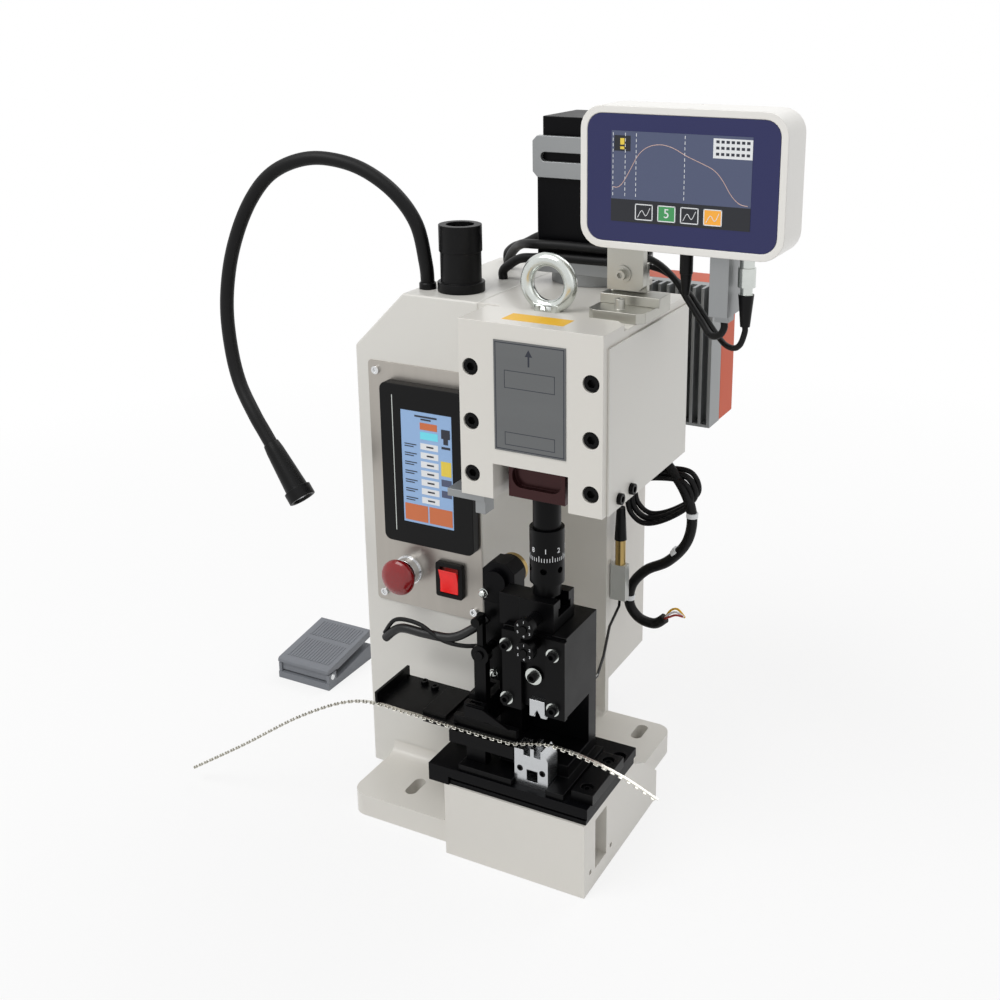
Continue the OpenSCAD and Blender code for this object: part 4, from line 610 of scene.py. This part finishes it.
def numeral(text, size, place, turn, name, material, body, depth=0.1):
    bpy.ops.object.select_all(action="DESELECT")
    bpy.ops.object.text_add(location=(0, 0, 0))
    obj = bpy.context.object
    obj.data.body = text
    obj.data.size = size * mm
    obj.data.extrude = depth * mm
    obj.data.align_x = "CENTER"
    obj.data.align_y = "CENTER"
    bpy.ops.object.convert(target="MESH")
    obj = bpy.context.object
    obj.matrix_world = Matrix.Translation(Vector(place) * mm) @ turn @ Matrix.Rotation(math.pi / 2, 4, "X")
    return added(obj, name, material, body)


still = Matrix.Identity(4)
green = inBox(force["box"], icons[1:2])[0]
greenMiddle = ((green[0] + green[2]) / 2, force["y"] - 0.25, (green[1] + green[3]) / 2)
numeral("5", 10.5, greenMiddle, still, "iconNumber", paleGlowMark, "monitor")
print("stage: screens")


# Plate and strip on the head cap, bare of words
plate = dict(box=(-22.0, 404.0, 45.0, 500.0), y=-56.0, thick=0.7, margin=1.5, frame=0.7, fieldFrame=0.5, ink=0.08,
             fields=[(0.15, 0.26, 0.85, 0.42), (0.15, 0.82, 0.85, 0.94)], stem=(10.2, 480, 11.8, 490),
             arrowAt=(11.0, -56.8, 490.5), arrowRadius=4.0, arrowDepth=0.1)
marks("capPlate", plateGrey, [plate["box"]], plate["y"], plate["thick"], ease=0.0002)
x0, z0, x1, z1 = plate["box"]
edge = plate["margin"]
inks = outline((x0 + edge, z0 + edge, x1 - edge, z1 - edge), plate["frame"]) + [plate["stem"]]
inks += [side for box in inBox(plate["box"], plate["fields"]) for side in outline(box, plate["fieldFrame"])]
marks("plateInk", markDark, inks, plate["y"] - plate["thick"], plate["ink"])
bpy.ops.mesh.primitive_cone_add(vertices=3, radius1=plate["arrowRadius"] * mm, depth=plate["arrowDepth"] * mm,
                                location=(0, 0, 0))
arrow = bpy.context.object
arrow.matrix_world = Matrix.Translation(Vector(plate["arrowAt"]) * mm) @ Matrix.Rotation(math.pi / 2, 4, "X")
added(arrow, "plateArrow", markDark)
capStrip = dict(low=(-21.9, -42.5, 513.9), high=(35.4, -21.6, 514.15), ease=0.00005)
added(block(capStrip["low"], capStrip["high"], capStrip["ease"], 1), "capStrip", yellowFilm)
print("stage: plates")


# Dial graduations and disc numbers
dialMarks = dict(axis=(11.0, -25.15), radius=15.5, count=40, low=300.0, high=303.5, longer=2.0, numbers=8,
                 numbersAt=310.0)
discMarks = dict(x=11.0, y=-70.02, radius=6.6, numbers=6, heights=dict(disc_upper=249.0, disc_lower=227.0))
axisX, axisY = dialMarks["axis"]
near, far = -dialMarks["radius"] - 0.1, -dialMarks["radius"] + 0.1
ticks = []
for k in range(dialMarks["count"]):
    turn = Matrix.Rotation(2 * math.pi * k / dialMarks["count"], 4, "Z")
    top = dialMarks["high"] + (dialMarks["longer"] if k % 5 == 0 else 0.0)
    tick = block((-0.25, near, dialMarks["low"]), (0.25, far, top), 0)
    tick.matrix_world = Matrix.Translation((axisX * mm, axisY * mm, 0)) @ turn
    ticks.append(settled(tick))
added(joined(ticks), "dialTicks", paleGlowMark, "dial")
for k in range(dialMarks["numbers"]):
    angle = 2 * math.pi * (k + 0.5) / dialMarks["numbers"]
    place = (axisX + dialMarks["radius"] * math.sin(angle), axisY - dialMarks["radius"] * math.cos(angle),
             dialMarks["numbersAt"])
    turn = Matrix.Rotation(angle, 4, "Z")
    numeral(str(k + 1), 6.5, place, turn, f"dialNumber{k + 1}", paleGlowMark, "dial", 0.12)
for name, height in discMarks["heights"].items():
    for k in range(discMarks["numbers"]):
        angle = 2 * math.pi * k / discMarks["numbers"]
        place = (discMarks["x"] + discMarks["radius"] * math.sin(angle), discMarks["y"],
                 height + discMarks["radius"] * math.cos(angle))
        numeral(str(k + 1), 3.4, place, still, f"{name}Number{k + 1}", paleGlowMark, name, 0.08)
print("stage: numbers")


# Pedal ribs, lamp lens, nuts, screw heads, washers, ties and the hoses of the feed
treadle = dict(x=-407.6, pitch=4.0, ribs=15, wide=2.4, proud=0.6, start=(113.0, 26.1), rise=12.0 / 83.0,
               rows=((7.0, 43.0), (50.0, 78.0)))
ribs = []
slope = Matrix.Rotation(math.atan(treadle["rise"]), 4, "X")
startY, startZ = treadle["start"]
for first, last in treadle["rows"]:
    for k in range(treadle["ribs"]):
        low = treadle["x"] + treadle["pitch"] * k
        rib = block((low, first, -treadle["proud"]), (low + treadle["wide"], last, treadle["proud"]), 0.0003)
        rib.matrix_world = Matrix.Translation((0, startY * mm, startZ * mm)) @ slope
        ribs.append(settled(rib))
added(joined(ribs), "treadleRibs", pedalPlastic, "treadle")

# Outlines of turned pieces as (radius, height)
turnings = dict(
    pinCap=[(0, 0), (3.3, 0), (3.1, 0.5), (0, 0.7)],
    lens=[(0, 0), (7.6, 0), (7.6, 1.2), (6.5, 2.2), (0, 3.0)],
    acorn=[(0, 0), (4.4, 0), (4.4, 3), (3.9, 3.2), (3.7, 5), (2.6, 6.6), (1.2, 7.3), (0, 7.5)],
    stripWasher=[(4.6, 0), (6.3, 0), (6.3, 1.0), (4.6, 1.0), (4.6, 0)],
    ramWasher=[(4.6, 0), (8.0, 0), (8.0, 0.9), (4.6, 0.9), (4.6, 0)],
    anvilScrew=[(0, 0), (2.9, 0), (2.9, 3.2), (2.5, 3.5), (1.6, 3.5), (1.6, 1.4), (0, 1.4)],
    barScrew=[(0, 0), (4.6, 0), (4.6, 2.6), (4.2, 3.0), (2.3, 3.0), (2.3, 1.2), (0, 1.2)],
    trayScrew=[(0, 0), (3.8, 0), (3.8, 3.4), (3.4, 3.8), (1.9, 3.8), (1.9, 2), (0, 2)])


def turnedAt(kind, place, along):
    # A turning that starts at a place and grows along a direction
    return turned(turnings[kind], place, [a + b for a, b in zip(place, along)])


toRight, toFront, upward = (1, 0, 0), (0, -1, 0), (0, 0, 1)
added(turnedAt("pinCap", (-343, 119, 14), toRight), "pedalPin", chromePlate)
lampLine = dict(start=Vector((-279, -36, 361)), end=Vector((-240.5, -43, 315.3)), lensAt=57.6)
lampWay = (lampLine["end"] - lampLine["start"]).normalized()
lens = turned(turnings["lens"], lampLine["start"] + lampWay * lampLine["lensAt"], lampLine["end"])
added(lens, "lampLens", clearLens)
for k, place in enumerate(((-52.7, -25.5, 251), (-31.5, -20, 244), (-46.8, -20, 167.8), (-25, -20, 190))):
    added(turnedAt("acorn", place, toFront), f"acornNut{k}", zincPlate)
feedLines = dict(
    sleeve=(8.5, [(-50, -26, 226), (-62, -34, 215), (-80, -42, 206), (-108, -44, 205), (-134, -44, 204),
                  (-152, -42, 189)]),
    hose=(4.0, [(-46, -26, 200), (-66, -40, 200), (-88, -46, 204), (-112, -44, 213), (-138, -44, 212),
                (-153, -42, 194)]))
width, route = feedLines["sleeve"]
added(cable(route, width, 8, 20), "feedSleeve", braidBlack)
width, route = feedLines["hose"]
added(cable(route, width, 8, 12), "feedHose", rubberBlack)
washers = [turnedAt("stripWasher", (x, -55, z), toFront) for x in (-14.5, 31.5) for z in (169, 222)]
added(joined(washers), "stripWashers", zincPlate)
added(turnedAt("ramWasher", (11, -51.7, 195), toFront), "ramWasher", zincPlate, "ram")
heads = [turnedAt("anvilScrew", (x, -63, 109), toFront) for x in (3.8, 26.2)]
added(joined(heads), "anvilScrews", blackOxide)
heads = [turnedAt("barScrew", (65.5, y, 97.1), upward) for y in (-56, -11)]
added(joined(heads), "barScrews", blackOxide)
heads = [turnedAt("trayScrew", (x, y, 130), upward) for x, y in ((-130, -12), (-116, -16))]
added(joined(heads), "trayScrews", blackOxide)
tieLines = dict(width=12.4, lines=[[(61.2, 200, 264), (61.2, 200, 259)], [(47, 201, 219), (43, 201, 213)],
                                   [(-6.8, 200, 158), (-7.3, 200, 153)]])
ties = [cable(line, tieLines["width"], 2, 20) for line in tieLines["lines"]]
added(joined(ties), "harnessTies", paleGlowMark)
print("stage: small parts")


# Floor, backdrop and light
floorFade = {"From Min": 0.4, "From Max": 1.6, "To Min": 0.8, "To Max": 1.0}


def seenRays(tree, rays):
    # 1 for the rays of the camera, of gloss and of glass
    last = rays.outputs["Is Camera Ray"]
    for kind in ("Is Glossy Ray", "Is Transmission Ray"):
        either = tree.nodes.new("ShaderNodeMath")
        either.operation = "MAXIMUM"
        tree.links.new(last, either.inputs[0])
        tree.links.new(rays.outputs[kind], either.inputs[1])
        last = either.outputs[0]
    return last


def stageMaterial():
    # A pale floor that fades into the white backdrop away from the object; lengths in m
    material = bpy.data.materials.new("paleStage")
    material.use_nodes = True
    tree = material.node_tree
    shader = tree.nodes["Principled BSDF"]
    shader.inputs["Base Color"].default_value = (0.86, 0.86, 0.86, 1)
    shader.inputs["Roughness"].default_value = 0.9
    rays = tree.nodes.new("ShaderNodeLightPath")
    seen = seenRays(tree, rays)
    share = tree.nodes.new("ShaderNodeMath")
    share.operation = "MULTIPLY"
    ground = tree.nodes.new("ShaderNodeTexCoord")
    reach = tree.nodes.new("ShaderNodeVectorMath")
    reach.operation = "LENGTH"
    tree.links.new(ground.outputs["Object"], reach.inputs[0])
    fade = tree.nodes.new("ShaderNodeMapRange")
    for socket, value in floorFade.items():
        fade.inputs[socket].default_value = value
    tree.links.new(reach.outputs["Value"], fade.inputs["Value"])
    tree.links.new(fade.outputs["Result"], share.inputs[1])
    tree.links.new(seen, share.inputs[0])
    white = tree.nodes.new("ShaderNodeEmission")
    white.inputs["Color"].default_value = (1, 1, 1, 1)
    white.inputs["Strength"].default_value = 1.0
    blend = tree.nodes.new("ShaderNodeMixShader")
    tree.links.new(share.outputs[0], blend.inputs["Fac"])
    tree.links.new(shader.outputs[0], blend.inputs[1])
    tree.links.new(white.outputs[0], blend.inputs[2])
    tree.links.new(blend.outputs[0], tree.nodes["Material Output"].inputs["Surface"])
    return material


bpy.ops.mesh.primitive_plane_add(size=30, location=(0, 0, -0.0005))
floor = bpy.context.object
floor.name = "floor"
coated(floor, stageMaterial())

world = bpy.data.worlds.new("softRoom")
bpy.context.scene.world = world
world.use_nodes = True
room = world.node_tree
ambient = room.nodes["Background"]
ambient.inputs["Color"].default_value = (1, 1, 1, 1)
ambient.inputs["Strength"].default_value = 0.45
backdrop = room.nodes.new("ShaderNodeBackground")
backdrop.inputs["Color"].default_value = (1, 1, 1, 1)
backdrop.inputs["Strength"].default_value = 1.0
rays = room.nodes.new("ShaderNodeLightPath")
choice = room.nodes.new("ShaderNodeMixShader")
room.links.new(seenRays(room, rays), choice.inputs["Fac"])
room.links.new(ambient.outputs[0], choice.inputs[1])
room.links.new(backdrop.outputs[0], choice.inputs[2])
room.links.new(choice.outputs[0], room.nodes["World Output"].inputs["Surface"])


def softLamp(name, place, size, power):
    # A square lamp in m and W that looks at the middle of the machine
    target = (0, 0, 0.3)
    bpy.ops.object.light_add(type="AREA", location=place)
    lamp = bpy.context.object
    lamp.name = name
    lamp.data.size = size
    lamp.data.energy = power
    lamp.rotation_euler = (Vector(target) - Vector(place)).to_track_quat("-Z", "Y").to_euler()


softLamp("keyLight", (-0.8, -1.4, 2.6), size=1.6, power=38)
softLamp("fillLight", (1.9, -0.9, 1.4), size=1.6, power=3)
softLamp("backLight", (0.4, 1.6, 2.4), size=1.4, power=16)
bpy.context.scene.view_settings.view_transform = "Standard"
print("stage: light")
